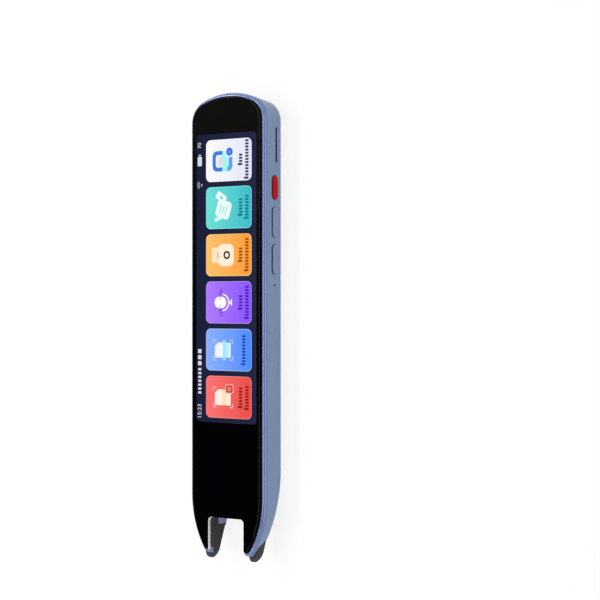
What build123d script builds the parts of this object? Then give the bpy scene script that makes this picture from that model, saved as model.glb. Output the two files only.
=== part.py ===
from build123d import *
from math import asin, cos, degrees, radians, sin, sqrt, tan
import os

os.makedirs("parts", exist_ok=True)

# A forked scanning pen, lying on its back: X runs from the fork tips to the top
# end, -Y is the side with the buttons, and Z rises from the raised rear plate,
# whose flat face is Z = 0, to the front glass. Millimetres throughout.

# ---------------------------------------------------------------- body
length = 146.0
body_width = 29.4
body_depth = 11.8
plate_proud = 0.5
wall = 1.2
draft_angle = 5.5
top_arc_radius = 26.0
top_corner_radius = 7.5
prong_arc_radius = 32.0
prong_arc_height = 20.0
frame_tip_height = 1.8
frame_tip_round = 1.6
rear_edge_round = 2.6
rear_wall = 1.2
seam_depth = 9.7
seam_gap = 0.06
seam_sweep = 35.0
leg_split_height = 27.5
# Half the width across the cover's two legs, at these heights above the tips.
leg_edge = ((20.0, 13.25), (14.0, 11.7))
prong_join_height = 29.0
prong_margin = 0.1
# Sections of the back near the fork: height above the tips, the depth where the
# side wall ends, and how far in from the body's side the flat back starts.
prong_sections = (
    (24.0, 8.2, 3.7),
    (18.0, 6.0, 4.9),
    (12.0, 4.5, 6.0),
    (6.0, 3.9, 6.5),
    (0.6, 3.1, 6.8),
)

# ---------------------------------------------------------------- front
glass_inset = 1.1
glass_thickness = 1.0
glass_edge_round = 0.75
glass_gap = 0.04
rim_start_depth = 0.85
rim_depth = 1.1
rim_edge_round = 1.0
rim_step = 0.18
carrier_thickness = 1.4
carrier_tip_height = 3.6

# ---------------------------------------------------------------- fork and notch
notch_width = 13.6
notch_height = 13.3
notch_corner = 1.3
notch_edge_round = 0.3
rear_curve_height = 25.5
rear_curve_radius = 57.0
cavity_half_width = 7.1
cavity_height = 23.5
cavity_corner = 2.0
cavity_wall = 1.2
leg_end_height = 10.3
leg_end_outer = 9.3
leg_step_depth = 5.6
leg_lip_length = 0.6
foot_outer = 10.4
foot_gap = 0.12
foot_recess = 0.45
foot_front_clearance = 0.15
foot_edge_round = 0.8
foot_taper_height = 5.0
foot_tip_outer = 8.9
foot_tip_inner = 7.8
foot_inner_height = 2.2
foot_heel_height = 1.6
foot_tip_depth = 3.9
foot_toe_height = 1.6
foot_toe_depth = 5.9
prong_start_height = 4.5
prong_slant_height = 9.3
prong_slant_depth = 9.0
nib_travel = 0.35
nib_end_gap = 0.45
leg_neck_width = 1.15
leg_neck_depth = 5.0
crossbar_height = 19.0
crossbar_width = 2.0
crossbar_thickness = 1.1
spring_diameter = 1.3
spring_wire = 0.18
spring_turns = 6
spring_length = 3.2
spring_side = 7.2
switch_length = 2.0
switch_width = 2.6
switch_height = 1.4
switch_side = 4.5
plunger_width = 0.8

# ---------------------------------------------------------------- scan head
window_bottom_height = 16.1
window_bottom_depth = 3.3
window_angle = 45.0
window_length = 8.6
window_width = 13.2
window_frame = 0.9
window_ledge = 0.45
window_recess = 0.15
bezel_depth = 1.0
bezel_corner = 0.9
seat_thickness = 0.8
strip_thickness = 0.5
housing_wall = 0.8
chamber_start = 18.3
chamber_end = 24.1
chamber_half_width = 6.2
scan_camera_width = 5.0
scan_camera_height = 2.6
scan_camera_depth = 1.8
scan_camera_aperture = 0.8
scan_camera_offset = 1.2
scan_lens_diameter = 1.8
scan_lens_length = 0.5
scan_board_length = 5.5
scan_board_offset = 1.75
scan_board_thickness = 0.6
led_width = 2.6
led_height = 1.2
led_thickness = 0.7
led_side = 3.9

# ---------------------------------------------------------------- screen
display_length = 92.6
display_width = 24.0
display_from_top = 57.2
display_gap = 0.12
flex_thickness = 0.15
flex_width = 9.0
flex_from_top = 74.0
flex_lead = 2.5
flex_overlap = 4.0
flex_gap = 0.4

# ---------------------------------------------------------------- side controls
button_depth = 6.4
button_width = 3.2
button_proud = 0.35
button_gap = 0.08
button_travel = 0.25
button_edge_round = 0.25
flange_margin = 0.55
flange_gap = 0.05
flange_thickness = 0.5
power_from_top = 29.9
power_length = 7.6
keys_from_top = (40.6, 52.15)
key_length = 9.5
side_mic_from_top = 60.1
mic_hole_diameter = 0.7
mic_length = 3.0
mic_width = 1.9
mic_thickness = 1.0
mic_gap = 0.3
mic_duct = 0.6
top_mic_inset = 0.62
top_mic_hole = 0.45
switch_gap = 0.03
key_switch_length = 3.4
key_switch_width = 2.2
key_switch_height = 0.6
key_board_thickness = 0.4
key_board_margin = 2.4
key_board_width = 3.8
card_from_top = 16.6
card_slot_length = 10.9
card_slot_width = 0.9
card_depth = 7.3
card_socket_length = 12.0
card_socket_skin = 0.2
card_socket_reach = 13.9
card_socket_gap = 0.15

# ---------------------------------------------------------------- rear plate
plate_end_inset = 4.8
plate_camera_margin = 7.5
plate_width = 24.4
plate_thickness = 1.15
plate_corner = 4.0
plate_edge_round = 0.3
plate_gap = 0.05
grille_from_top = 13.8
grille_columns = 9
grille_rows = 11
grille_pitch = 2.36
grille_hole = 1.15
camera_from_top = 26.0
bezel_diameter = 9.45
bezel_bore = 7.4
bezel_recess = 0.05
lens_thickness = 0.6
lens_recess = 0.25
camera_air_gap = 0.1
camera_barrel = 6.0
camera_aperture = 3.0
camera_aperture_depth = 0.8
camera_base = 6.4
camera_base_height = 2.4
camera_base_corner = 0.5
bezel_length = 1.6
bezel_chamfer = 0.25

# ---------------------------------------------------------------- inside
chassis_thickness = 0.7
chassis_gap = 0.2
board_thickness = 0.8
board_gap = 1.7
board_from_top = 62.0
board_end_inset = 4.7
board_side_gap = 3.9
board_corner = 1.5
battery_gap = 5.0
battery_width = 21.0
battery_thickness = 5.4
battery_start_height = 33.0
battery_edge_round = 1.0
pad_thickness = 0.2
pad_margin = 2.0
shield_length = 15.0
shield_width = 14.0
shield_height = 1.6
shield_wall = 0.2
shield_corner = 0.8
shield_inset = 2.5
speaker_length = 12.0
speaker_width = 20.0
speaker_thickness = 2.2
speaker_corner = 1.0
speaker_edge_round = 0.4
gasket_wall = 1.0
gasket_thickness = 0.5
mesh_thickness = 0.2
usb_width = 8.94
usb_thickness = 3.2
usb_length = 7.1
usb_end_gap = 0.5
usb_gap = 0.1
usb_shell = 0.3
tongue_thickness = 0.7
tongue_width = 6.7
tongue_length = 4.6
usb_bore_length = 6.3
antenna_length = 34.0
antenna_width = 4.2
antenna_thickness = 0.2
antenna_from_top = 54.0
antenna_depth = 6.3
screw_head = 2.4
screw_head_thickness = 0.5
screw_socket = 0.9
screw_shank = 1.4
screw_gap = 0.03
screw_length = 2.4
screw_inset = 2.4
standoff_diameter = 3.2

# ---------------------------------------------------------------- derived places
front = plate_proud + body_depth
back = plate_proud
tip_x = -length / 2
top_x = length / 2
half_width = body_width / 2
slope = tan(radians(draft_angle))
band_depth = rim_start_depth + rim_depth
carrier_depth = glass_thickness + carrier_thickness
foot_start_depth = carrier_depth + foot_front_clearance
prong_x = tip_x + prong_arc_height
chassis_depth = carrier_depth + chassis_thickness
board_depth = chassis_depth + board_gap
board_back = board_depth + board_thickness
inner_back_depth = body_depth - rear_wall
display_centre_height = length - display_from_top
power_height = length - power_from_top
upper_key_height = length - keys_from_top[0]
lower_key_height = length - keys_from_top[1]
side_mic_height = length - side_mic_from_top
card_height = length - card_from_top
grille_height = length - grille_from_top
camera_height = length - camera_from_top
plate_bottom_height = camera_height - plate_camera_margin
plate_length = length - plate_end_inset - plate_bottom_height
board_start_height = length - board_from_top
board_end_height = length - board_end_inset
board_width = body_width - 2 * board_side_gap
shield_start_height = board_start_height + shield_inset
antenna_start_height = length - antenna_from_top
flex_start_height = length - flex_from_top
flex_drop_height = board_start_height - flex_lead
flex_end_height = board_start_height + flex_overlap
battery_length = board_start_height - battery_gap - battery_start_height


def level(depth):
    # Height above the table of a place this deep behind the glass face.
    return front - depth


def along(height):
    # X of a place this far from the fork's tips.
    return tip_x + height


def rear_rise(x):
    # How far the back has risen at x, where it curves up to the fork's tips.
    run = max(0.0, along(rear_curve_height) - x)
    return rear_curve_radius - sqrt(rear_curve_radius**2 - run**2)


def plan_face(inset, depth):
    # The pen's outline seen from the front, drawn inset from its outer edge.
    top_centre = top_x - top_arc_radius
    corner_reach = top_arc_radius - top_corner_radius
    corner_y = half_width - top_corner_radius
    corner_angle = degrees(asin(corner_y / corner_reach))
    corner_x = top_centre + corner_reach * cos(radians(corner_angle))
    end_x = along(frame_tip_height) + inset
    prong_radius = prong_arc_radius - inset
    prong_angle = degrees(asin((prong_x - end_x) / prong_radius))
    with BuildSketch(Plane.XY.offset(level(depth))) as face:
        with BuildLine():
            CenterArc((top_centre, 0), top_arc_radius - inset, 0, corner_angle)
            corner = CenterArc(
                (corner_x, corner_y), top_corner_radius - inset, corner_angle, 90 - corner_angle
            )
            prong = CenterArc(
                (prong_x, half_width - prong_arc_radius), prong_radius, 90, prong_angle
            )
            Line(corner @ 1, prong @ 0)
            Line(prong @ 1, (end_x, 0))
            mirror(about=Plane.XZ)
        make_face()
        ends = face.vertices().group_by(Axis.X)[0].sort_by(Axis.Y)
        fillet([ends[0], ends[-1]], radius=frame_tip_round)
    return face.sketch


def side_plane(height, depth):
    # On the button side's outer wall, looking out of it, X towards the top end.
    wall_y = half_width - slope * (depth - band_depth)
    return Plane(
        origin=(along(height), -wall_y, level(depth)),
        x_dir=(1, 0, 0),
        z_dir=(0, -cos(radians(draft_angle)), -sin(radians(draft_angle))),
    )


def gap_tool(half_gap, end_height, corner, top_depth, bottom_depth):
    # An open slot between the prongs, with round inner corners.
    with BuildPart() as tool:
        with BuildSketch(Plane.XY.offset(level(bottom_depth))) as gap:
            with Locations((along(end_height), 0)):
                Rectangle(2 * end_height, 2 * half_gap, align=(Align.MAX, Align.CENTER))
            fillet(gap.vertices().group_by(Axis.X)[-1], radius=corner)
        extrude(amount=bottom_depth - top_depth)
    return tool.part


def box_between(heights, sides, depths):
    # A plain block, by its ends along the pen, its sides in Y and its depths.
    with BuildPart() as solid:
        with BuildSketch(Plane.XY.offset(level(depths[1]))):
            with Locations((along(sum(heights) / 2), sum(sides) / 2)):
                Rectangle(heights[1] - heights[0], sides[1] - sides[0])
        extrude(amount=depths[1] - depths[0])
    return solid.part


def rear_section(height, side_depth, flat_half, inset):
    # One cross-section of the back near the fork: flat in the middle, with a
    # quarter ellipse up to each side wall.
    x = along(height)
    run = max(0.0, prong_x - x)
    wall_y = half_width - prong_arc_radius + sqrt(prong_arc_radius**2 - run**2)
    wall_y += prong_margin - slope * (side_depth - band_depth) - inset
    flat_z = back + rear_rise(x) + inset
    side_z = level(side_depth) + inset
    flat_y = flat_half - inset
    top_y = wall_y + slope * (front + wall - side_z)
    with BuildSketch(Plane.YZ.offset(x)) as section:
        with BuildLine():
            Line((0, flat_z), (flat_y, flat_z))
            EllipticalCenterArc(
                (flat_y, side_z), wall_y - flat_y, side_z - flat_z, start_angle=270, arc_size=90
            )
            Line((wall_y, side_z), (top_y, front + wall))
            Line((top_y, front + wall), (0, front + wall))
            mirror(about=Plane.YZ)
        make_face()
    return section.sketch


def fork_back(inset):
    # The rounded back of the two prongs, as the solid that they lie within.
    join_depth = body_depth - rear_edge_round
    join_flat = half_width - slope * (join_depth - band_depth) - rear_edge_round
    sections = [rear_section(prong_join_height + 1, join_depth, join_flat, inset)]
    for height, side_depth, flat_inset in prong_sections:
        sections.append(rear_section(height, side_depth, half_width - flat_inset, inset))
    with BuildPart() as form:
        loft(sections)
    return form.part


def body_form(inset):
    # The body behind the rim as one solid, drawn inset from its outer skin.
    outline = plan_face(inset, band_depth)
    prongs = fork_back(inset)
    with BuildPart() as upper:
        extrude(outline, amount=body_depth - band_depth - inset, dir=(0, 0, -1), taper=draft_angle)
        rear_edges = upper.faces().sort_by(Axis.Z)[0].outer_wire().edges()
        fillet(rear_edges, radius=rear_edge_round - inset)
        split(bisect_by=Plane.YZ.offset(along(prong_join_height)), keep=Keep.TOP)
    with BuildPart() as lower:
        extrude(outline, amount=body_depth - band_depth - inset, dir=(0, 0, -1), taper=draft_angle)
        split(bisect_by=Plane.YZ.offset(along(prong_join_height)), keep=Keep.BOTTOM)
        add(prongs, mode=Mode.INTERSECT)
    with BuildPart() as form:
        add(upper.part)
        add(lower.part)
    return form.part


def cover_zone(gap):
    # What the rear cover takes of the body: all behind the seam, and two legs
    # that narrow towards the fork's tips and run in to the cavity's walls.
    curve_x = along(rear_curve_height)
    centre_z = back + rear_curve_radius
    seam_radius = rear_curve_radius - (body_depth - seam_depth) - gap
    with BuildPart() as zone:
        with BuildSketch(Plane.XZ) as skin:
            with BuildLine():
                arc = CenterArc((curve_x, centre_z), seam_radius, 270, -seam_sweep)
                Line(arc @ 0, (top_x + wall, centre_z - seam_radius))
                Line((top_x + wall, centre_z - seam_radius), (top_x + wall, -wall))
                Line((top_x + wall, -wall), ((arc @ 1).X, -wall))
                Line(((arc @ 1).X, -wall), arc @ 1)
            make_face()
        extrude(skin.sketch, amount=body_width, both=True)
        with BuildSketch(Plane.XY.offset(-wall)) as plan:
            with BuildLine():
                curve = Spline(
                    (along(leg_split_height), half_width + seam_gap + gap),
                    *[(along(height), half_leg + gap) for height, half_leg in leg_edge],
                    (along(leg_end_height) - gap, leg_end_outer + gap),
                )
                Line(curve @ 1, (along(leg_end_height) - gap, 0))
                Line(curve @ 0, (top_x + wall, half_width + seam_gap + gap))
                Line((top_x + wall, half_width + seam_gap + gap), (top_x + wall, 0))
                mirror(about=Plane.XZ)
            make_face()
        extrude(plan.sketch, amount=body_depth, mode=Mode.INTERSECT)
        with BuildSketch(Plane.XY.offset(-wall)) as legs:
            with Locations((along(leg_end_height) - gap, 0)):
                Rectangle(
                    cavity_height + cavity_wall - leg_end_height + 2 * gap,
                    2 * (leg_end_outer + gap),
                    align=(Align.MIN, Align.CENTER),
                )
        extrude(legs.sketch, amount=level(leg_step_depth) + gap + wall)
    return zone.part


# The solids that the shells are cut from, and the spaces between them.
body_outside = body_form(0)
body_inside = body_form(wall)
with BuildPart() as hollow:
    add(body_inside)
    split(bisect_by=Plane.YZ.offset(along(cavity_height + cavity_wall)), keep=Keep.TOP)
notch = gap_tool(notch_width / 2, notch_height, notch_corner, -wall, carrier_depth)
cavity = gap_tool(cavity_half_width, cavity_height, cavity_corner, carrier_depth, front + wall)
housing_start = notch_height + seam_gap
housing_end = cavity_height + cavity_wall - seam_gap
housing_side = cavity_half_width + housing_wall
crossbar_end = crossbar_height + crossbar_width
crossbar_depth = foot_start_depth + crossbar_thickness
foot_end = leg_end_height - nib_end_gap
foot_back_z = back + rear_rise(along(foot_end)) + foot_recess
foot_step = notch_height - nib_end_gap
fork_side = foot_outer + foot_gap

with BuildPart() as fork_pocket:
    add(box_between((-wall, leg_end_height), (0, fork_side), (carrier_depth, front + wall)))
    add(box_between((0, notch_height + seam_gap), (0, fork_side), (carrier_depth, leg_step_depth)))
    neck_end = crossbar_end + nib_travel + foot_gap
    neck_start = foot_outer - leg_neck_width - foot_gap
    neck_back = leg_neck_depth + foot_gap
    add(box_between((foot_step, neck_end), (neck_start, fork_side), (carrier_depth, neck_back)))
    crossbar_start = crossbar_height - foot_gap
    crossbar_back = crossbar_depth + foot_gap
    add(box_between((crossbar_start, neck_end), (0, fork_side), (carrier_depth, crossbar_back)))
    with BuildSketch(Plane.XZ) as prong_slant:
        with BuildLine():
            Polyline(
                (along(-wall), level(carrier_depth)),
                (along(prong_start_height), level(carrier_depth)),
                (along(prong_slant_height), level(prong_slant_depth)),
                (along(prong_slant_height), -wall),
                (along(-wall), -wall),
                close=True,
            )
        make_face()
    extrude(prong_slant.sketch, amount=-half_width)
    mirror(about=Plane.XZ)

# ---------------------------------------------------------------- front glass
with BuildPart() as front_glass:
    extrude(plan_face(glass_inset, glass_thickness), amount=glass_thickness)
    fillet(front_glass.faces().sort_by(Axis.Z)[-1].outer_wire().edges(), radius=glass_edge_round)
    add(notch, mode=Mode.SUBTRACT)
    glass_top = front_glass.faces().sort_by(Axis.Z)[-1].edges()
    notch_end = along(notch_height)
    across = glass_top.filter_by_position(Axis.Y, -notch_width / 2, notch_width / 2)
    fillet(across.filter_by_position(Axis.X, tip_x, notch_end), radius=notch_edge_round)
front_glass.part.label = "front_glass"
export_step(front_glass.part, "parts/front_glass.step")

# ---------------------------------------------------------------- front frame
# The rounded rim round the glass, with a pad under each glass tip.
carrier_tip = box_between((0, carrier_tip_height), (-half_width, half_width), (0, carrier_depth))
carrier_plan = plan_face(glass_inset - glass_gap, carrier_depth)
with BuildPart() as carrier_space:
    extrude(carrier_plan, amount=carrier_depth - glass_thickness)
    add(carrier_tip, mode=Mode.SUBTRACT)
with BuildPart() as front_frame:
    extrude(plan_face(rim_step, band_depth), amount=rim_depth)
    rim_edges = front_frame.faces().sort_by(Axis.Z)[-1].outer_wire().edges()
    fillet(rim_edges, radius=rim_edge_round)
    extrude(
        plan_face(glass_inset - glass_gap, glass_thickness),
        amount=glass_thickness,
        mode=Mode.SUBTRACT,
    )
    add(carrier_space.part, mode=Mode.SUBTRACT)
    add(notch, mode=Mode.SUBTRACT)
    with BuildSketch(Plane.XY.offset(level(0))) as pinhole:
        with Locations((top_x - top_mic_inset, 0)):
            Circle(top_mic_hole / 2)
    extrude(pinhole.sketch, amount=-body_depth, mode=Mode.SUBTRACT)
front_frame.part.label = "front_frame"
export_step(front_frame.part, "parts/front_frame.step")

# ---------------------------------------------------------------- glass carrier
# Black moulding that the glass and the display are glued to. Its edge shows in
# the notch.
with BuildPart() as glass_carrier:
    extrude(plan_face(glass_inset + chassis_gap, carrier_depth), amount=carrier_thickness)
    add(carrier_tip, mode=Mode.SUBTRACT)
    add(notch, mode=Mode.SUBTRACT)
    display_window = Plane.XY.offset(level(carrier_depth))
    with BuildSketch(display_window):
        with Locations((along(display_centre_height), 0)):
            Rectangle(display_length + 2 * display_gap, display_width + 2 * display_gap)
    extrude(amount=carrier_thickness, mode=Mode.SUBTRACT)
glass_carrier.part.label = "glass_carrier"
export_step(glass_carrier.part, "parts/glass_carrier.step")

# ---------------------------------------------------------------- side frame
with BuildPart() as side_frame:
    add(body_outside)
    fillet(side_frame.faces().sort_by(Axis.Z)[-1].outer_wire().edges(), radius=rim_step)
    add(hollow.part, mode=Mode.SUBTRACT)
    add(cover_zone(seam_gap), mode=Mode.SUBTRACT)
    add(carrier_space.part, mode=Mode.SUBTRACT)
    add(notch, mode=Mode.SUBTRACT)
    add(fork_pocket.part, mode=Mode.SUBTRACT)
    housing_space = box_between(
        (notch_height, cavity_height + cavity_wall),
        (-housing_side - seam_gap, housing_side + seam_gap),
        (carrier_depth, front + wall),
    )
    add(housing_space, mode=Mode.SUBTRACT)
    for button_height, button_length in (
        (power_height, power_length),
        (upper_key_height, key_length),
        (lower_key_height, key_length),
    ):
        with BuildSketch(side_plane(button_height, button_depth)) as hole:
            SlotOverall(button_length + 2 * button_gap, button_width + 2 * button_gap)
        extrude(hole.sketch, amount=2 * wall, both=True, mode=Mode.SUBTRACT)
    with BuildSketch(side_plane(side_mic_height, button_depth)) as mic_hole:
        Circle(mic_hole_diameter / 2)
    extrude(mic_hole.sketch, amount=2 * wall, both=True, mode=Mode.SUBTRACT)
    with BuildSketch(side_plane(card_height, card_depth)) as card_slot:
        RectangleRounded(card_slot_length, card_slot_width, card_slot_width / 4)
    extrude(card_slot.sketch, amount=2 * wall, both=True, mode=Mode.SUBTRACT)
    usb_level = level(board_back + usb_thickness / 2)
    with BuildSketch(Plane.YZ.offset(top_x - 2 * wall)) as usb_opening:
        with Locations((0, usb_level)):
            SlotOverall(usb_width + 2 * usb_gap, usb_thickness + 2 * usb_gap)
    extrude(usb_opening.sketch, amount=4 * wall, mode=Mode.SUBTRACT)
    mic_duct_ends = (length - wall - mic_gap, length - top_mic_inset + top_mic_hole / 2)
    duct_depths = (band_depth, chassis_depth + mic_thickness / 2 + mic_duct / 2)
    add(box_between(mic_duct_ends, (-mic_duct / 2, mic_duct / 2), duct_depths), mode=Mode.SUBTRACT)
side_frame.part.label = "side_frame"
export_step(side_frame.part, "parts/side_frame.step")

# ---------------------------------------------------------------- rear cover
plate_x = along(plate_bottom_height) + plate_length / 2
speaker_x = along(grille_height)
camera_x = along(camera_height)
# Each leg ends in a thin lip that covers the gap above the moving foot.
with BuildPart() as leg_lips:
    lip_ends = (leg_end_height - leg_lip_length, leg_end_height)
    lip_depths = (front - foot_back_z + foot_gap, front + wall)
    add(box_between(lip_ends, (cavity_half_width, leg_end_outer), lip_depths))
    mirror(about=Plane.XZ)
    add(body_outside, mode=Mode.INTERSECT)
with BuildPart() as rear_cover:
    add(body_outside)
    add(cover_zone(0), mode=Mode.INTERSECT)
    add(leg_lips.part)
    add(hollow.part, mode=Mode.SUBTRACT)
    add(cavity, mode=Mode.SUBTRACT)
    housing_top = box_between(
        (cavity_height - cavity_corner, cavity_height + cavity_wall),
        (-cavity_half_width, cavity_half_width),
        (carrier_depth, inner_back_depth),
    )
    add(housing_top, mode=Mode.SUBTRACT)
    with BuildSketch(Plane.XY.offset(plate_thickness)) as plate_pocket:
        with Locations((plate_x, 0)):
            RectangleRounded(
                plate_length + 2 * plate_gap, plate_width + 2 * plate_gap, plate_corner + plate_gap
            )
    extrude(plate_pocket.sketch, amount=-plate_thickness, mode=Mode.SUBTRACT)
    with BuildSketch(Plane.XY) as openings:
        with Locations((speaker_x, 0)):
            RectangleRounded(
                speaker_length + 2 * gasket_wall, speaker_width + 2 * gasket_wall, speaker_corner
            )
        with Locations((camera_x, 0)):
            Circle(bezel_diameter / 2 + plate_gap)
    extrude(openings.sketch, amount=back + 2 * rear_wall, mode=Mode.SUBTRACT)
rear_cover.part.label = "rear_cover"
export_step(rear_cover.part, "parts/rear_cover.step")

# ---------------------------------------------------------------- rear plate
with BuildPart() as camera_speaker_plate:
    with BuildSketch(Plane.XY) as plate_outline:
        with Locations((plate_x, 0)):
            RectangleRounded(plate_length, plate_width, plate_corner)
    extrude(plate_outline.sketch, amount=plate_thickness)
    plate_edges = camera_speaker_plate.faces().sort_by(Axis.Z)[0].outer_wire().edges()
    fillet(plate_edges, radius=plate_edge_round)
    with BuildSketch(Plane.XY) as holes:
        with Locations((speaker_x, 0)):
            with GridLocations(grille_pitch, 2 * grille_pitch, grille_rows // 2, grille_columns // 2 + 1):
                Circle(grille_hole / 2)
            with GridLocations(grille_pitch, 2 * grille_pitch, grille_rows // 2 + 1, grille_columns // 2):
                Circle(grille_hole / 2)
        with Locations((camera_x, 0)):
            Circle(bezel_diameter / 2 + plate_gap)
    extrude(holes.sketch, amount=plate_thickness, mode=Mode.SUBTRACT)
camera_speaker_plate.part.label = "camera_speaker_plate"
export_step(camera_speaker_plate.part, "parts/camera_speaker_plate.step")

# ---------------------------------------------------------------- speaker
with BuildPart() as speaker_mesh:
    with BuildSketch(Plane.XY.offset(plate_thickness)):
        with Locations((speaker_x, 0)):
            Rectangle(speaker_length + gasket_wall, speaker_width + gasket_wall)
    extrude(amount=mesh_thickness)
speaker_mesh.part.label = "speaker_mesh"
export_step(speaker_mesh.part, "parts/speaker_mesh.step")

gasket_level = plate_thickness + mesh_thickness
with BuildPart() as speaker_gasket:
    with BuildSketch(Plane.XY.offset(gasket_level)):
        with Locations((speaker_x, 0)):
            Rectangle(speaker_length + gasket_wall, speaker_width + gasket_wall)
            Rectangle(
                speaker_length - gasket_wall, speaker_width - gasket_wall, mode=Mode.SUBTRACT
            )
    extrude(amount=gasket_thickness)
speaker_gasket.part.label = "speaker_gasket"
export_step(speaker_gasket.part, "parts/speaker_gasket.step")

speaker_level = gasket_level + gasket_thickness
with BuildPart() as speaker_module:
    with BuildSketch(Plane.XY.offset(speaker_level)):
        with Locations((speaker_x, 0)):
            RectangleRounded(speaker_length, speaker_width, speaker_corner)
    extrude(amount=speaker_thickness)
    fillet(speaker_module.edges().group_by(Axis.Z)[-1], radius=speaker_edge_round)
speaker_module.part.label = "speaker_module"
export_step(speaker_module.part, "parts/speaker_module.step")

# ---------------------------------------------------------------- camera
with BuildPart() as camera_bezel:
    with BuildSketch(Plane.XY.offset(bezel_recess)):
        with Locations((camera_x, 0)):
            Circle(bezel_diameter / 2)
            Circle(bezel_bore / 2, mode=Mode.SUBTRACT)
    extrude(amount=bezel_length)
    bezel_face = camera_bezel.faces().sort_by(Axis.Z)[0]
    chamfer(bezel_face.inner_wires()[0].edges(), length=bezel_chamfer)
camera_bezel.part.label = "camera_bezel"
export_step(camera_bezel.part, "parts/camera_bezel.step")

with BuildPart() as camera_lens_cover:
    with BuildSketch(Plane.XY.offset(lens_recess + bezel_recess)):
        with Locations((camera_x, 0)):
            Circle(bezel_bore / 2 - plate_gap / 2)
    extrude(amount=lens_thickness)
camera_lens_cover.part.label = "camera_lens_cover"
export_step(camera_lens_cover.part, "parts/camera_lens_cover.step")

camera_base_level = level(board_back + camera_base_height)
with BuildPart() as camera_module:
    with BuildSketch(Plane.XY.offset(camera_base_level)):
        with Locations((camera_x, 0)):
            RectangleRounded(camera_base, camera_base, camera_base_corner)
    extrude(amount=camera_base_height)
    barrel_level = lens_recess + bezel_recess + lens_thickness + camera_air_gap
    with BuildSketch(Plane.XY.offset(barrel_level)):
        with Locations((camera_x, 0)):
            Circle(camera_barrel / 2)
    extrude(amount=camera_base_level - barrel_level)
    with BuildSketch(Plane.XY.offset(barrel_level)):
        with Locations((camera_x, 0)):
            Circle(camera_aperture / 2)
    extrude(amount=camera_aperture_depth, mode=Mode.SUBTRACT)
camera_module.part.label = "camera_module"
export_step(camera_module.part, "parts/camera_module.step")

# ---------------------------------------------------------------- scan housing
# The moulding in the cavity: side walls, the strip behind the notch, a slanted
# seat for the window and a chamber for the scan camera behind it.
window_top_height = window_bottom_height + window_length * cos(radians(window_angle))
window_top_depth = window_bottom_depth + window_length * sin(radians(window_angle))
window_plane = Plane(
    origin=(
        along((window_bottom_height + window_top_height) / 2),
        0,
        level((window_bottom_depth + window_top_depth) / 2),
    ),
    x_dir=(cos(radians(window_angle)), 0, -sin(radians(window_angle))),
    z_dir=(-sin(radians(window_angle)), 0, -cos(radians(window_angle))),
)
seat_back = bezel_depth + seat_thickness


def slant_depth(height, behind):
    # Depth, at this height, of a plane this far behind the window's outer face.
    rise = (height - window_bottom_height) * tan(radians(window_angle))
    return window_bottom_depth + rise - behind / cos(radians(window_angle))


spring_depth = foot_start_depth + crossbar_thickness / 2
spring_start = along(crossbar_end)
with BuildPart() as scan_housing:
    side_wall = box_between(
        (housing_start, housing_end),
        (0, housing_side),
        (carrier_depth, leg_step_depth - seam_gap),
    )
    add(side_wall)
    mirror(about=Plane.XZ)
    add(cavity, mode=Mode.SUBTRACT)
    with BuildSketch(Plane.XZ) as lip:
        with BuildLine():
            Polyline(
                (along(housing_start), level(carrier_depth)),
                (along(housing_start), level(carrier_depth + strip_thickness)),
                (along(window_bottom_height), level(carrier_depth + strip_thickness)),
                (along(window_bottom_height), level(window_bottom_depth)),
                (along(window_top_height), level(window_top_depth)),
                (along(cavity_height), level(window_top_depth)),
                (along(cavity_height), level(inner_back_depth - seam_gap)),
                (along(housing_end), level(inner_back_depth - seam_gap)),
                (along(housing_end), level(carrier_depth)),
                close=True,
            )
        make_face()
    extrude(lip.sketch, amount=cavity_half_width - seam_gap, both=True)
    with BuildSketch(window_plane.offset(-bezel_depth)) as window_seat:
        RectangleRounded(
            window_length + 2 * plate_gap, window_width + 2 * plate_gap, bezel_corner + plate_gap
        )
    extrude(window_seat.sketch, amount=2 * bezel_depth, mode=Mode.SUBTRACT)
    with BuildSketch(window_plane) as aperture:
        Rectangle(
            window_length - 2 * window_frame - 2 * window_ledge,
            window_width - 2 * window_frame - 2 * window_ledge,
        )
    extrude(aperture.sketch, amount=-2 * seat_back, mode=Mode.SUBTRACT)
    with BuildSketch(Plane.XZ) as chamber:
        with BuildLine():
            Polyline(
                (along(chamber_start), level(carrier_depth)),
                (along(chamber_start), level(slant_depth(chamber_start, seat_back))),
                (along(chamber_end), level(slant_depth(chamber_end, seat_back))),
                (along(chamber_end), level(carrier_depth)),
                close=True,
            )
        make_face()
    extrude(chamber.sketch, amount=chamber_half_width, both=True, mode=Mode.SUBTRACT)
    add(fork_pocket.part, mode=Mode.SUBTRACT)
    with BuildSketch(Plane.YZ.offset(spring_start)) as spring_bores:
        with Locations((spring_side, level(spring_depth)), (-spring_side, level(spring_depth))):
            Circle(spring_diameter / 2 + plate_gap)
    extrude(spring_bores.sketch, amount=spring_length, mode=Mode.SUBTRACT)
scan_housing.part.label = "scan_housing"
export_step(scan_housing.part, "parts/scan_housing.step")

# ---------------------------------------------------------------- scan window
clear_length = window_length - 2 * window_frame
clear_width = window_width - 2 * window_frame
with BuildPart() as scan_window_bezel:
    with BuildSketch(window_plane.offset(-bezel_depth)):
        RectangleRounded(window_length, window_width, bezel_corner)
        Rectangle(clear_length, clear_width, mode=Mode.SUBTRACT)
    extrude(amount=bezel_depth)
scan_window_bezel.part.label = "scan_window_bezel"
export_step(scan_window_bezel.part, "parts/scan_window_bezel.step")

with BuildPart() as scan_window:
    with BuildSketch(window_plane.offset(-bezel_depth)):
        Rectangle(clear_length - 2 * glass_gap, clear_width - 2 * glass_gap)
    extrude(amount=bezel_depth - window_recess)
scan_window.part.label = "scan_window"
export_step(scan_window.part, "parts/scan_window.step")

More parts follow.
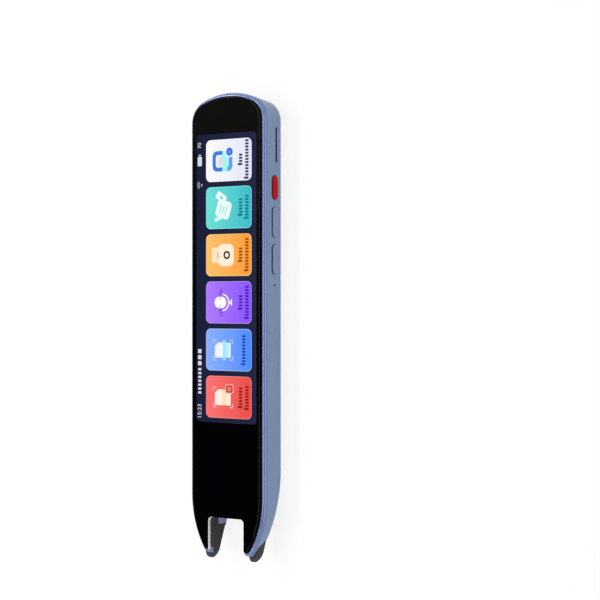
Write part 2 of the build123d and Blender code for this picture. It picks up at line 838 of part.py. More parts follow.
# ---------------------------------------------------------------- scan camera
with BuildPart() as scan_board:
    with BuildSketch(window_plane.offset(-seat_back)):
        with Locations((scan_board_offset, 0)):
            Rectangle(scan_board_length, 2 * (chamber_half_width - chassis_gap))
        with Locations((scan_camera_offset, 0)):
            Circle(scan_lens_diameter / 2 + screw_gap, mode=Mode.SUBTRACT)
    extrude(amount=-scan_board_thickness)
scan_board.part.label = "scan_board"
export_step(scan_board.part, "parts/scan_board.step")

board_face = window_plane.offset(-seat_back - scan_board_thickness)
with BuildPart() as scan_camera_module:
    with BuildSketch(board_face):
        with Locations((scan_camera_offset, 0)):
            Rectangle(scan_camera_height, scan_camera_width)
    extrude(amount=-scan_camera_depth)
    with BuildSketch(board_face) as lens_barrel:
        with Locations((scan_camera_offset, 0)):
            Circle(scan_lens_diameter / 2)
    extrude(lens_barrel.sketch, amount=scan_board_thickness + scan_lens_length)
    with BuildSketch(window_plane.offset(scan_lens_length - seat_back)) as lens_hole:
        with Locations((scan_camera_offset, 0)):
            Circle(scan_camera_aperture / 2)
    extrude(lens_hole.sketch, amount=-scan_lens_length, mode=Mode.SUBTRACT)
scan_camera_module.part.label = "scan_camera_module"
export_step(scan_camera_module.part, "parts/scan_camera_module.step")

with BuildPart() as scan_leds:
    with BuildSketch(window_plane.offset(-seat_back)):
        with Locations((scan_camera_offset, led_side), (scan_camera_offset, -led_side)):
            Rectangle(led_height, led_width)
    extrude(amount=led_thickness)
scan_leds.part.label = "scan_leds"
export_step(scan_leds.part, "parts/scan_leds.step")

# ---------------------------------------------------------------- nib fork
# Two feet at the tips, joined behind the glass by a bar, so that both move as
# one when the tips are pressed on a page.
foot_back = (along(foot_end), foot_back_z)
foot_toe = (along(foot_toe_height), level(foot_toe_depth))
with BuildPart() as nib_fork:
    with BuildSketch(Plane.XZ.offset(-cavity_half_width)) as foot_side:
        with BuildLine():
            toe = TangentArc(
                foot_toe,
                (along(0), level(foot_tip_depth)),
                tangent=(foot_toe[0] - foot_back[0], foot_toe[1] - foot_back[1]),
            )
            heel = TangentArc(
                toe @ 1, (along(foot_heel_height), level(foot_start_depth)), tangent=toe % 1
            )
            Polyline(
                heel @ 1,
                (along(foot_step), level(foot_start_depth)),
                (along(foot_step), level(leg_step_depth - foot_gap)),
                (foot_back[0], level(leg_step_depth - foot_gap)),
                foot_back,
                toe @ 0,
            )
        make_face()
    extrude(foot_side.sketch, amount=cavity_half_width - foot_outer)
    with BuildSketch(Plane.XY) as foot_plan:
        with BuildLine():
            taper = TangentArc(
                (along(foot_taper_height), foot_outer), (along(0), foot_tip_outer), tangent=(-1, 0)
            )
            Polyline(
                taper @ 1,
                (along(-nib_travel), foot_tip_outer),
                (along(-nib_travel), foot_tip_inner),
                (along(0), foot_tip_inner),
                (along(foot_inner_height), cavity_half_width),
                (along(foot_step), cavity_half_width),
                (along(foot_step), foot_outer),
                taper @ 0,
            )
        make_face()
    extrude(foot_plan.sketch, amount=front, mode=Mode.INTERSECT)
    # Rounds the outer back edge, which runs along the slant of the foot's back.
    back_run = (foot_back[0] - foot_toe[0], 0, foot_back[1] - foot_toe[1])
    back_plane = Plane(origin=(foot_toe[0], 0, foot_toe[1]), x_dir=(0, 1, 0), z_dir=back_run)
    with BuildSketch(back_plane) as foot_round:
        Rectangle(2 * foot_outer, 2 * front, align=(Align.CENTER, Align.MIN))
        fillet(foot_round.vertices().group_by(Axis.Z)[0], radius=foot_edge_round)
    extrude(foot_round.sketch, amount=2 * notch_height, both=True, mode=Mode.INTERSECT)
    add(
        box_between(
            (foot_step, crossbar_end),
            (foot_outer - leg_neck_width, foot_outer),
            (foot_start_depth, leg_neck_depth),
        )
    )
    crossbar_ends = (crossbar_height, crossbar_end)
    add(box_between(crossbar_ends, (0, foot_outer), (foot_start_depth, crossbar_depth)))
    mirror(about=Plane.XZ)
nib_fork.part.label = "nib_fork"
export_step(nib_fork.part, "parts/nib_fork.step")

wire_radius = (spring_diameter - spring_wire) / 2
spring_pitch = (spring_length - spring_wire) / spring_turns
with BuildPart() as nib_springs:
    coil_start = (spring_start + spring_wire / 2, spring_side, level(spring_depth))
    with BuildLine() as coil:
        Helix(
            spring_pitch,
            spring_length - spring_wire,
            wire_radius,
            center=coil_start,
            direction=(1, 0, 0),
        )
    with BuildSketch(Plane(origin=coil.line @ 0, z_dir=coil.line % 0)) as wire:
        Circle(spring_wire / 2)
    sweep(wire.sketch, path=coil.line, is_frenet=True)
    mirror(about=Plane.XZ)
nib_springs.part.label = "nib_springs"
export_step(nib_springs.part, "parts/nib_springs.step")

switch_start = chamber_end - switch_length
with BuildPart() as nib_switch:
    switch_sides = (switch_side - switch_width / 2, switch_side + switch_width / 2)
    switch_depths = (carrier_depth, carrier_depth + switch_height)
    add(box_between((switch_start, chamber_end), switch_sides, switch_depths))
    plunger_sides = (switch_side - plunger_width / 2, switch_side + plunger_width / 2)
    plunger_depths = (spring_depth - plunger_width / 2, spring_depth + plunger_width / 2)
    plunger_start = crossbar_end + nib_travel + switch_gap
    add(box_between((plunger_start, switch_start), plunger_sides, plunger_depths))
nib_switch.part.label = "nib_switch"
export_step(nib_switch.part, "parts/nib_switch.step")

# ---------------------------------------------------------------- side controls
# Each key is a slot-shaped cap with a flange that stays inside the wall.
side_keys = (
    ("power_button", power_height, power_length),
    ("upper_key", upper_key_height, key_length),
    ("lower_key", lower_key_height, key_length),
)
for key_name, key_height, cap_length in side_keys:
    cap_foot = side_plane(key_height, button_depth).offset(-wall - flange_gap)
    with BuildPart() as side_key:
        with BuildSketch(cap_foot):
            SlotOverall(cap_length, button_width)
        extrude(amount=wall + flange_gap + button_proud)
        fillet(side_key.faces().sort_by(Axis.Y)[0].edges(), radius=button_edge_round)
        with BuildSketch(cap_foot) as flange:
            SlotOverall(cap_length + 2 * flange_margin, button_width + 2 * flange_margin)
        extrude(flange.sketch, amount=-flange_thickness)
    side_key.part.label = key_name
    export_step(side_key.part, f"parts/{key_name}.step")

switch_face = wall + flange_gap + flange_thickness + button_travel + switch_gap
key_board_face = switch_face + key_switch_height
key_board_start = side_mic_height - key_board_margin
key_board_end = power_height + power_length / 2 + key_board_margin
with BuildPart() as side_key_switches:
    for key_name, key_height, cap_length in side_keys:
        with BuildSketch(side_plane(key_height, button_depth).offset(-key_board_face)) as pad:
            RectangleRounded(key_switch_length, key_switch_width, key_switch_height / 2)
        extrude(pad.sketch, amount=key_switch_height)
side_key_switches.part.label = "side_key_switches"
export_step(side_key_switches.part, "parts/side_key_switches.step")

with BuildPart() as side_key_board:
    board_middle = (key_board_start + key_board_end) / 2
    with BuildSketch(side_plane(board_middle, button_depth).offset(-key_board_face)):
        Rectangle(key_board_end - key_board_start, key_board_width)
    extrude(amount=-key_board_thickness)
side_key_board.part.label = "side_key_board"
export_step(side_key_board.part, "parts/side_key_board.step")

with BuildPart() as side_microphone:
    with BuildSketch(side_plane(side_mic_height, button_depth).offset(-key_board_face)):
        Rectangle(mic_length, mic_width)
    extrude(amount=key_board_face - wall - mic_gap)
side_microphone.part.label = "side_microphone"
export_step(side_microphone.part, "parts/side_microphone.step")

with BuildPart() as top_microphone:
    mic_end = length - wall - mic_gap
    mic_depths = (chassis_depth, chassis_depth + mic_thickness)
    add(box_between((mic_end - mic_width, mic_end), (-mic_length / 2, mic_length / 2), mic_depths))
top_microphone.part.label = "top_microphone"
export_step(top_microphone.part, "parts/top_microphone.step")

# ---------------------------------------------------------------- screen
with BuildPart() as display_module:
    with BuildSketch(Plane.XY.offset(level(carrier_depth))):
        with Locations((along(display_centre_height), 0)):
            Rectangle(display_length, display_width)
    extrude(amount=carrier_thickness)
display_module.part.label = "display_module"
export_step(display_module.part, "parts/display_module.step")

with BuildPart() as display_flex:
    with BuildSketch(Plane.XZ):
        with BuildLine():
            Polyline(
                (along(flex_start_height), level(carrier_depth)),
                (along(flex_drop_height), level(carrier_depth)),
                (along(flex_drop_height), level(board_depth - flex_thickness)),
                (along(flex_end_height), level(board_depth - flex_thickness)),
                (along(flex_end_height), level(board_depth)),
                (along(flex_drop_height - flex_thickness), level(board_depth)),
                (along(flex_drop_height - flex_thickness), level(carrier_depth + flex_thickness)),
                (along(flex_start_height), level(carrier_depth + flex_thickness)),
                close=True,
            )
        make_face()
    extrude(amount=flex_width / 2, both=True)
display_flex.part.label = "display_flex"
export_step(display_flex.part, "parts/display_flex.step")

# ---------------------------------------------------------------- inner frame
screw_x = (along(board_start_height + screw_inset), along(board_end_height - screw_inset))
screw_y = board_width / 2 - screw_inset
screw_places = [(x, y) for x in screw_x for y in (-screw_y, screw_y)]
with BuildPart() as inner_chassis:
    extrude(plan_face(wall + chassis_gap, chassis_depth), amount=chassis_thickness)
    chassis_start = cavity_height + cavity_wall + chassis_gap
    split(bisect_by=Plane.YZ.offset(along(chassis_start)), keep=Keep.TOP)
    with BuildSketch(Plane.XY.offset(level(board_depth))) as standoffs:
        with Locations(*screw_places):
            Circle(standoff_diameter / 2)
    extrude(standoffs.sketch, amount=board_gap)
    with BuildSketch(Plane.XY.offset(level(board_depth))) as screw_bores:
        with Locations(*screw_places):
            Circle(screw_shank / 2 + screw_gap)
    extrude(screw_bores.sketch, amount=board_gap, mode=Mode.SUBTRACT)
    flex_slot = box_between(
        (flex_start_height - flex_gap, flex_drop_height + flex_gap),
        (-flex_width / 2 - flex_gap, flex_width / 2 + flex_gap),
        (carrier_depth, chassis_depth),
    )
    add(flex_slot, mode=Mode.SUBTRACT)
inner_chassis.part.label = "inner_chassis"
export_step(inner_chassis.part, "parts/inner_chassis.step")

with BuildPart() as main_board:
    with BuildSketch(Plane.XY.offset(level(board_back))):
        with Locations((along((board_start_height + board_end_height) / 2), 0)):
            RectangleRounded(board_end_height - board_start_height, board_width, board_corner)
        with Locations(*screw_places):
            Circle(screw_shank / 2 + screw_gap, mode=Mode.SUBTRACT)
    extrude(amount=board_thickness)
main_board.part.label = "main_board"
export_step(main_board.part, "parts/main_board.step")

with BuildPart() as chassis_screws:
    with BuildSketch(Plane.XY.offset(level(board_back))) as shanks:
        with Locations(*screw_places):
            Circle(screw_shank / 2)
    extrude(shanks.sketch, amount=screw_length)
    with BuildSketch(Plane.XY.offset(level(board_back))) as heads:
        with Locations(*screw_places):
            Circle(screw_head / 2)
            RegularPolygon(screw_socket / 2, 6, mode=Mode.SUBTRACT)
    extrude(heads.sketch, amount=-screw_head_thickness)
chassis_screws.part.label = "chassis_screws"
export_step(chassis_screws.part, "parts/chassis_screws.step")

with BuildPart() as processor_shield:
    shield_ends = (shield_start_height, shield_start_height + shield_length)
    shield_depths = (board_back, board_back + shield_height)
    add(box_between(shield_ends, (-shield_width / 2, shield_width / 2), shield_depths))
    can_edges = processor_shield.edges().filter_by(Axis.Z)
    fillet(can_edges, radius=shield_corner)
    can_mouth = processor_shield.faces().sort_by(Axis.Z)[-1]
    offset(amount=-shield_wall, openings=can_mouth)
processor_shield.part.label = "processor_shield"
export_step(processor_shield.part, "parts/processor_shield.step")

# ---------------------------------------------------------------- battery
battery_end = battery_start_height + battery_length
battery_x = along((battery_start_height + battery_end) / 2)
battery_depth = chassis_depth + pad_thickness
with BuildPart() as battery_pad:
    with BuildSketch(Plane.XY.offset(level(battery_depth))):
        with Locations((battery_x, 0)):
            Rectangle(battery_length - 2 * pad_margin, battery_width - 2 * pad_margin)
    extrude(amount=pad_thickness)
battery_pad.part.label = "battery_pad"
export_step(battery_pad.part, "parts/battery_pad.step")

with BuildPart() as battery:
    with BuildSketch(Plane.XY.offset(level(battery_depth + battery_thickness))):
        with Locations((battery_x, 0)):
            Rectangle(battery_length, battery_width)
    extrude(amount=battery_thickness)
    fillet(battery.edges().filter_by(Axis.X), radius=battery_edge_round)
battery.part.label = "battery"
export_step(battery.part, "parts/battery.step")

# ---------------------------------------------------------------- sockets
with BuildPart() as usb_port:
    usb_end = top_x - usb_end_gap
    with BuildSketch(Plane.YZ.offset(usb_end)) as usb_body:
        with Locations((0, usb_level)):
            SlotOverall(usb_width, usb_thickness)
    extrude(usb_body.sketch, amount=-usb_length)
    with BuildSketch(Plane.YZ.offset(usb_end)) as usb_bore:
        with Locations((0, usb_level)):
            SlotOverall(usb_width - 2 * usb_shell, usb_thickness - 2 * usb_shell)
    extrude(usb_bore.sketch, amount=-usb_bore_length, mode=Mode.SUBTRACT)
    with BuildSketch(Plane.YZ.offset(usb_end - usb_bore_length)) as tongue:
        with Locations((0, usb_level)):
            Rectangle(tongue_width, tongue_thickness)
    extrude(tongue.sketch, amount=tongue_length)
usb_port.part.label = "usb_port"
export_step(usb_port.part, "parts/usb_port.step")

card_wall_y = half_width - slope * (card_depth - band_depth) - wall - card_socket_gap
with BuildPart() as card_socket:
    card_ends = (card_height - card_socket_length / 2, card_height + card_socket_length / 2)
    card_sides = (-card_wall_y, card_socket_reach - card_wall_y)
    card_depths = (board_back, card_depth + card_slot_width / 2 + card_socket_skin)
    add(box_between(card_ends, card_sides, card_depths))
    bay_ends = (card_height - card_slot_length / 2, card_height + card_slot_length / 2)
    bay_sides = (-card_wall_y, card_socket_reach - card_wall_y - wall)
    bay_depths = (card_depth - card_slot_width / 2, card_depth + card_slot_width / 2)
    add(box_between(bay_ends, bay_sides, bay_depths), mode=Mode.SUBTRACT)
card_socket.part.label = "card_socket"
export_step(card_socket.part, "parts/card_socket.step")

with BuildPart() as antenna_flex:
    antenna_middle = antenna_start_height + antenna_length / 2
    with BuildSketch(side_plane(antenna_middle, antenna_depth).offset(-wall)):
        Rectangle(antenna_length, antenna_width)
    extrude(amount=-antenna_thickness)
    mirror(about=Plane.XZ, mode=Mode.REPLACE)
antenna_flex.part.label = "antenna_flex"
export_step(antenna_flex.part, "parts/antenna_flex.step")
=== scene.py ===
import math

import bmesh
import bpy
from mathutils import Matrix, Vector


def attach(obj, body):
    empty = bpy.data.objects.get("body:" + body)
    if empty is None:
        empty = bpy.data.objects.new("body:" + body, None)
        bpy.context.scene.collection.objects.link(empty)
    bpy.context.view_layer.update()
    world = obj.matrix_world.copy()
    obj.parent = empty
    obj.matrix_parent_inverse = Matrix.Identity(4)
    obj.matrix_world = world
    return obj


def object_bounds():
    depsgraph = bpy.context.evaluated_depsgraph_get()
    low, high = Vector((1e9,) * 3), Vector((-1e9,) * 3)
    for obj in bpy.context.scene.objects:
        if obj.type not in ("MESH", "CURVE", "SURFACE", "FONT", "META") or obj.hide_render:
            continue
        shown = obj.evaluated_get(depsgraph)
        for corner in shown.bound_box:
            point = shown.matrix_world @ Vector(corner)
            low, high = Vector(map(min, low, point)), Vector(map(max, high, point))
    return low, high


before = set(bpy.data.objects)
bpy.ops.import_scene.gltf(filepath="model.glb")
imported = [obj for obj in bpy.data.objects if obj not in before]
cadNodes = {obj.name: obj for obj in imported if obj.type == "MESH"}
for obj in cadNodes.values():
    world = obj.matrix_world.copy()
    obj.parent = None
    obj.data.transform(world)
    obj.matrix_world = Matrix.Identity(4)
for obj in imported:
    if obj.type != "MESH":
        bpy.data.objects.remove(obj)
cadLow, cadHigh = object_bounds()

scene = bpy.context.scene
mm = 0.001
print("frame loaded,", len(cadNodes), "CAD nodes")


def deselectAll():
    if bpy.context.object and bpy.context.object.mode != "OBJECT":
        bpy.ops.object.mode_set(mode="OBJECT")
    bpy.ops.object.select_all(action="DESELECT")


def tone(text):
    # a colour written as six hex digits, as the renderer's linear values
    parts = [int(text[place:place + 2], 16) / 255 for place in (0, 2, 4)]
    return tuple(v / 12.92 if v <= 0.04045 else ((v + 0.055) / 1.055) ** 2.4 for v in parts)


# camera, floor and lamps

cameraSet = {
    "tilt": 34.8,        # degrees from square-on, towards the buttons
    "distance": 0.5056,  # from the plane of the rear plate, along the view
    "across": 0.01616,   # where the view's middle lies, from the frame's origin
    "up": 0.0083,
    "lens": 95.5,
    "sensor": 36.0,
    "clip": (0.02, 20),
}


def addCamera(s):
    tilt = math.radians(s["tilt"])
    back = Vector((0, -math.sin(tilt), math.cos(tilt)))
    right = Vector((0, -math.cos(tilt), -math.sin(tilt)))
    up = Vector((1, 0, 0))
    deselectAll()
    bpy.ops.object.camera_add()
    camera = bpy.context.object
    camera.name = "viewCamera"
    camera.data.lens = s["lens"]
    camera.data.sensor_width = s["sensor"]
    camera.data.clip_start, camera.data.clip_end = s["clip"]
    turn = Matrix((right, up, back)).transposed().to_4x4()
    place = back * s["distance"] + right * s["across"] + up * s["up"]
    camera.matrix_world = Matrix.Translation(place) @ turn
    scene.camera = camera


class Value:
    # a node's output that Python's sums can be written with
    def __init__(self, paint, socket):
        self.paint = paint
        self.socket = socket

    def maths(self, operation, first, second):
        return self.paint.node("ShaderNodeMath", {"operation": operation}, {0: first, 1: second})

    def __add__(self, other):
        return self.maths("ADD", self, other)

    def __radd__(self, other):
        return self.maths("ADD", other, self)

    def __sub__(self, other):
        return self.maths("SUBTRACT", self, other)

    def __rsub__(self, other):
        return self.maths("SUBTRACT", other, self)

    def __mul__(self, other):
        return self.maths("MULTIPLY", self, other)

    def __rmul__(self, other):
        return self.maths("MULTIPLY", other, self)

    def __pow__(self, other):
        return self.maths("POWER", self, other)


class Paint:
    # one material, or another node tree, and the nodes that are added to it
    def __init__(self, name, tree=None):
        self.material = None
        if tree is None:
            self.material = bpy.data.materials.new(name)
            self.material.use_nodes = True
            tree = self.material.node_tree
        self.tree = tree
        self.shader = tree.nodes.get("Principled BSDF")

    def node(self, kind, settings=None, sockets=None, out=0):
        made = self.tree.nodes.new(kind)
        for name, value in (settings or {}).items():
            if name == "stops":
                ramp = made.color_ramp.elements
                for position, _ in value[1:-1]:
                    ramp.new(position)
                for stop, (position, colour) in zip(ramp, value):
                    stop.position = position
                    stop.color = (*colour, 1)
            else:
                setattr(made, name, value)
        self.fill(made, sockets or {})
        return Value(self, made.outputs[out])

    def fill(self, made, sockets):
        for name, value in sockets.items():
            socket = made.inputs[name]
            if isinstance(value, Value):
                self.tree.links.new(value.socket, socket)
            elif socket.type == "RGBA":
                socket.default_value = (*value, 1)
            else:
                socket.default_value = value

    def put(self, sockets):
        self.fill(self.shader, sockets)

    def surface(self):
        # what already colours the shader
        return Value(self, self.shader.inputs["Base Color"].links[0].from_socket)

    def place(self):
        return self.node("ShaderNodeTexCoord", out="Object")

    def axis(self, letter):
        return self.node("ShaderNodeSeparateXYZ", sockets={0: self.place()}, out=letter)

    def noise(self, scale, detail=2.0, stretch=(1, 1, 1)):
        vector = self.node("ShaderNodeMapping", sockets={"Vector": self.place(), "Scale": stretch})
        sockets = {"Vector": vector, "Scale": scale, "Detail": detail}
        return self.node("ShaderNodeTexNoise", sockets=sockets)

    def wave(self, letter, scale):
        sockets = {"Vector": self.place(), "Scale": scale}
        return self.node("ShaderNodeTexWave", {"bands_direction": letter}, sockets)

    def spread(self, value, low, high):
        # 0 at low and below, 1 at high and above
        sockets = {"Value": value, "From Min": low, "From Max": high}
        return self.node("ShaderNodeMapRange", sockets=sockets)

    def near(self, value, middle, half):
        # 1 where a value is within half of the middle
        sockets = {0: value, 1: middle, 2: half}
        return self.node("ShaderNodeMath", {"operation": "COMPARE"}, sockets)

    def blend(self, factor, first, second):
        sockets = {0: factor, 6: first, 7: second}
        return self.node("ShaderNodeMix", {"data_type": "RGBA"}, sockets, 2)

    def bump(self, height, distance, strength):
        sockets = {"Height": height, "Distance": distance, "Strength": strength}
        return self.node("ShaderNodeBump", sockets=sockets, out="Normal")


def seenRays(paint):
    # 1 for rays that come from the camera or by way of a shiny or clear surface
    kinds = ("Is Camera Ray", "Is Glossy Ray", "Is Transmission Ray")
    rays = [paint.node("ShaderNodeLightPath", out=kind) for kind in kinds]
    seen = rays[0].maths("MAXIMUM", rays[0], rays[1])
    return seen.maths("MAXIMUM", seen, rays[2])


floorSet = {
    "size": 4.0,
    "cuts": 3,
    "colour": (0.82, 0.82, 0.82),
    "roughness": 0.9,
    "specular": 0.1,
    "shadowKept": 0.2,   # how much of its shadow the floor shows
    "glow": 1.05,
}


def addFloor(s):
    deselectAll()
    bpy.ops.mesh.primitive_plane_add(size=s["size"], location=(0, 0, cadLow.z))
    floor = bpy.context.object
    floor.name = "floor"
    bpy.ops.object.mode_set(mode="EDIT")
    bpy.ops.mesh.subdivide(number_cuts=s["cuts"])
    bpy.ops.object.mode_set(mode="OBJECT")
    paint = Paint("floorPaint")
    paint.put({
        "Base Color": s["colour"],
        "Roughness": s["roughness"],
        "Specular IOR Level": s["specular"],
    })
    glow = paint.node("ShaderNodeEmission", sockets={"Color": (1, 1, 1), "Strength": s["glow"]})
    share = seenRays(paint) * (1 - s["shadowKept"])
    mixed = paint.node("ShaderNodeMixShader", sockets={0: share, 2: glow})
    paint.tree.links.new(paint.shader.outputs[0], mixed.socket.node.inputs[1])
    paint.tree.links.new(mixed.socket, paint.tree.nodes["Material Output"].inputs["Surface"])
    floor.data.materials.append(paint.material)


lightSet = {
    "worldLevel": 0.5,
    "lamps": {
        # name: place, aim, size along X and across, watts
        "overheadStrip": ((0.0, 0.195, 0.46), (0, 0, 0), (0.70, 0.05), 1.3),
        "overheadSoft": ((0.0, 0.02, 0.60), (0, 0, 0), (0.50, 0.20), 0.7),
        "sideLamp": ((0.0, -0.50, 0.06), (0, 0, 0.005), (0.60, 0.30), 0.75),
        "cornerLamp": ((0.27, 0.29, 0.31), (0.06, 0, 0), (0.10, 0.10), 0.35),
    },
    "alongX": 0.7,   # a lamp whose view leans more than this along X keeps its side along Y
}


def addLights(s):
    world = bpy.data.worlds.new("studioWorld")
    world.use_nodes = True
    scene.world = world
    paint = Paint("studioWorld", world.node_tree)
    level = s["worldLevel"] + seenRays(paint) * (1 - s["worldLevel"])
    paint.fill(world.node_tree.nodes["Background"], {"Color": (1, 1, 1), "Strength": level})
    for name, (place, aim, size, watts) in s["lamps"].items():
        deselectAll()
        bpy.ops.object.light_add(type="AREA", location=place)
        lamp = bpy.context.object
        lamp.name = name
        lamp.data.shape = "RECTANGLE"
        lamp.data.size, lamp.data.size_y = size
        lamp.data.energy = watts
        back = (Vector(place) - Vector(aim)).normalized()
        side = Vector((1, 0, 0)) - back * back.x
        if abs(back.x) > s["alongX"]:
            side = Vector((0, 1, 0)) - back * back.y
        side.normalize()
        turn = Matrix((side, back.cross(side), back)).transposed().to_4x4()
        lamp.matrix_world = Matrix.Translation(place) @ turn


cardSet = {
    # dark cards at each side, so that the glass stays black and its edges read as lines
    "sides": {"darkCard": 1, "farCard": -1},
    "distance": 0.85,
    "size": (0.9, 0.34),
    "mottle": 20,
    "shades": ((0.01, 0.01, 0.01), (0.02, 0.02, 0.02)),
    "roughness": 0.9,
    "specular": 0.1,
}


def addCard(name, s, tilt):
    deselectAll()
    lean = math.radians(tilt)
    place = Vector((0, -math.sin(lean), math.cos(lean))) * s["distance"]
    bpy.ops.mesh.primitive_plane_add(size=1, location=place, rotation=(lean, 0, 0))
    card = bpy.context.object
    card.name = name
    card.scale = (*s["size"], 1)
    bpy.ops.object.transform_apply(location=False, rotation=False, scale=True)
    paint = Paint(name + "Paint")
    paint.put({
        "Base Color": paint.blend(paint.noise(s["mottle"]), *s["shades"]),
        "Roughness": s["roughness"],
        "Specular IOR Level": s["specular"],
    })
    card.data.materials.append(paint.material)


addCamera(cameraSet)
addFloor(floorSet)
addLights(lightSet)
for cardName, cardSide in cardSet["sides"].items():
    addCard(cardName, cardSet, cardSide * cameraSet["tilt"])
scene.view_settings.view_transform = "Standard"
print("camera, floor and lamps placed")


# finishes of the CAD nodes; a noise is its scale, detail and stretch

satinSet = {
    "mottle": (90, 3),
    "fine": (5200, 2),
    "rub": (260, 4, (0.15, 1, 1)),
    "shades": (0.94, 1.05),   # darkest and lightest share of the colour
    "rubbed": 0.12,           # what rub marks, grain and both together change in roughness
    "grained": 0.05,
    "level": -0.08,
    "coat": 0.12,
    "coatRoughness": 0.3,
    "bump": 0.000012,
}
rimSet = {
    "colour": "7080ae",
    "roughness": 0.24,
    "grain": 0.02,
    "metallic": 0.6,
    "coat": 0.0,
    "wear": 0.2,   # share of the rub marks and grain that shows in its gloss
}
coverSet = {"colour": "9ba9c8", "roughness": 0.45, "grain": 0.3}
plateSet = {"colour": "a0adcb", "roughness": 0.42, "grain": 0.25}
housingSet = {"colour": "5a6890", "roughness": 0.5, "grain": 0.3}


def satinPaint(name, s):
    # moulded and lacquered: very fine grain, slight mottling and faint rub marks
    paint = Paint(name)
    mottle, fine, rub = (paint.noise(*satinSet[kind]) for kind in ("mottle", "fine", "rub"))
    colour = tone(s["colour"])
    dark, light = (tuple(min(1.0, v * share) for v in colour) for share in satinSet["shades"])
    worn = rub * satinSet["rubbed"] + fine * satinSet["grained"] + satinSet["level"]
    paint.put({
        "Base Color": paint.blend(mottle, dark, light),
        "Roughness": s["roughness"] + worn * s.get("wear", 1.0),
        "Metallic": s.get("metallic", 0.0),
        "Coat Weight": s.get("coat", satinSet["coat"]),
        "Coat Roughness": satinSet["coatRoughness"],
        "Normal": paint.bump(fine, satinSet["bump"], s["grain"]),
    })
    return paint


wallSet = {
    "y": 0.01427,        # the button side's outer face, at the keys' middle line
    "z": 0.0059,
    "lean": 0.0963,
}


def fromMiddle(paint, s):
    # how far out a point lies on the button side, along its leaning wall
    return 0 - paint.axis("Y") - (paint.axis("Z") - s["z"]) * s["lean"]


bandSet = {
    "colour": "7286ac",
    "roughness": 0.34,
    "grain": 0.2,
    "metallic": 0.6,
    "coat": 0.12,
    "depth": (0.0128, 0.00141),   # middle and half of the button side's wall, short of its face
    "openings": {
        # x and z of the middle, half length, half width and painted shade colour
        "cardSlot": (0.0564, 0.0050, 0.0057, 0.0006, "12306e"),
        "microphoneHole": (0.0129, 0.0059, 0.0006, 0.0006, "020306"),
        "powerButton": (0.0431, 0.0059, 0.0042, 0.0019, "0c1836"),
        "upperKey": (0.0324, 0.0059, 0.0051, 0.0019, "0c1836"),
        "lowerKey": (0.02085, 0.0059, 0.0051, 0.0019, "0c1836"),
    },
}


def bandShell(s):
    # the side wall, with painted shade on the walls inside its openings
    paint = satinPaint("bandBlue", s)
    along, height = paint.axis("X"), paint.axis("Z")
    inside = paint.near(fromMiddle(paint, wallSet), *s["depth"])
    surface = paint.surface()
    shadedHole = 0.0
    for x, z, halfLong, halfWide, colour in s["openings"].values():
        here = paint.near(along, x, halfLong) * paint.near(height, z, halfWide) * inside
        # painted shade: the opening's inner walls take its dark colour
        surface = paint.blend(here, surface, tone(colour))
        shadedHole = here + shadedHole
    paint.put({
        "Base Color": surface,
        "Metallic": (1 - shadedHole) * s["metallic"],
        "Coat Weight": (1 - shadedHole) * s["coat"],
    })
    return paint.material


keySet = {
    "colour": "788ab2",
    "roughness": 0.3,
    "grain": 0.1,
    "metallic": 0.7,
    "coat": 0.0,
    # painted shade on the keys' flanks
    "gap": "142350",
    "rise": (0.00012, 0.00036),   # above the wall, where the painted shade on a flank fades out
}


def buttonShadeMask(paint, s):
    # painted shade mask: 1 where a button leaves the wall, 0 on its face
    low, high = s["rise"]
    return 1 - paint.spread(fromMiddle(paint, wallSet), wallSet["y"] + low, wallSet["y"] + high)


def keyShell(s):
    # the side keys, with painted shade on their flanks
    paint = satinPaint("keyBlue", s)
    surface = paint.surface()
    flankShade = buttonShadeMask(paint, s)
    paint.put({
        "Base Color": paint.blend(flankShade, surface, tone(s["gap"])),
        "Metallic": (1 - flankShade) * s["metallic"],
    })
    return paint.material


redSet = {
    "mottle": (700, 2),
    "fine": (4200, 2),
    "tones": ("bf0c10", "ca1015"),
    # painted shade on the button's flanks
    "flankShade": "6d0509",
    "roughness": 0.26,
    "grained": 0.06,
    "ior": 1.1,
    "bump": (0.00001, 0.2),
}


def redSatin(s):
    paint = Paint("redSatin")
    fine = paint.noise(*s["fine"])
    red = paint.blend(paint.noise(*s["mottle"]), *map(tone, s["tones"]))
    paint.put({
        # painted shade darkens the button where it leaves the wall
        "Base Color": paint.blend(buttonShadeMask(paint, keySet), red, tone(s["flankShade"])),
        "Roughness": s["roughness"] + fine * s["grained"],
        "IOR": s["ior"],
        "Normal": paint.bump(fine, *s["bump"]),
    })
    return paint.material


notchSet = {
    "side": (0.0062, 0.0009),   # y of the notch's walls, and half of the band that they lie in
    "end": -0.0594,
    "top": 0.01222,
}


def notchWall(paint, s):
    # 1 on the faces at both sides of the notch between the fork's tips
    side = paint.node("ShaderNodeMath", {"operation": "ABSOLUTE"}, {0: paint.axis("Y")})
    along, height = paint.axis("X"), paint.axis("Z")
    below = along.maths("LESS_THAN", along, s["end"])
    under = height.maths("LESS_THAN", height, s["top"])
    return paint.near(side, *s["side"]) * below * under


glassSet = {
    "smudge": (55, 4, (0.6, 1, 1)),
    "smudged": (0.45, 0.8),   # the part of that noise that shows as smudges
    "ripple": (900, 1),
    "tones": ("010102", "040305"),
    "upper": "111110",        # painted reflection: the black is a little lighter towards the top end
    "topReflectionFrom": (0.0, 0.066),
    "topReflectionShare": 0.9,
    "notch": "fafbff",        # painted highlight along the glass edges at the notch
    "roughness": 0.05,
    "smudgeRoughness": 0.06,
    "ior": 1.12,
    "bump": (0.000002, 0.1),
}


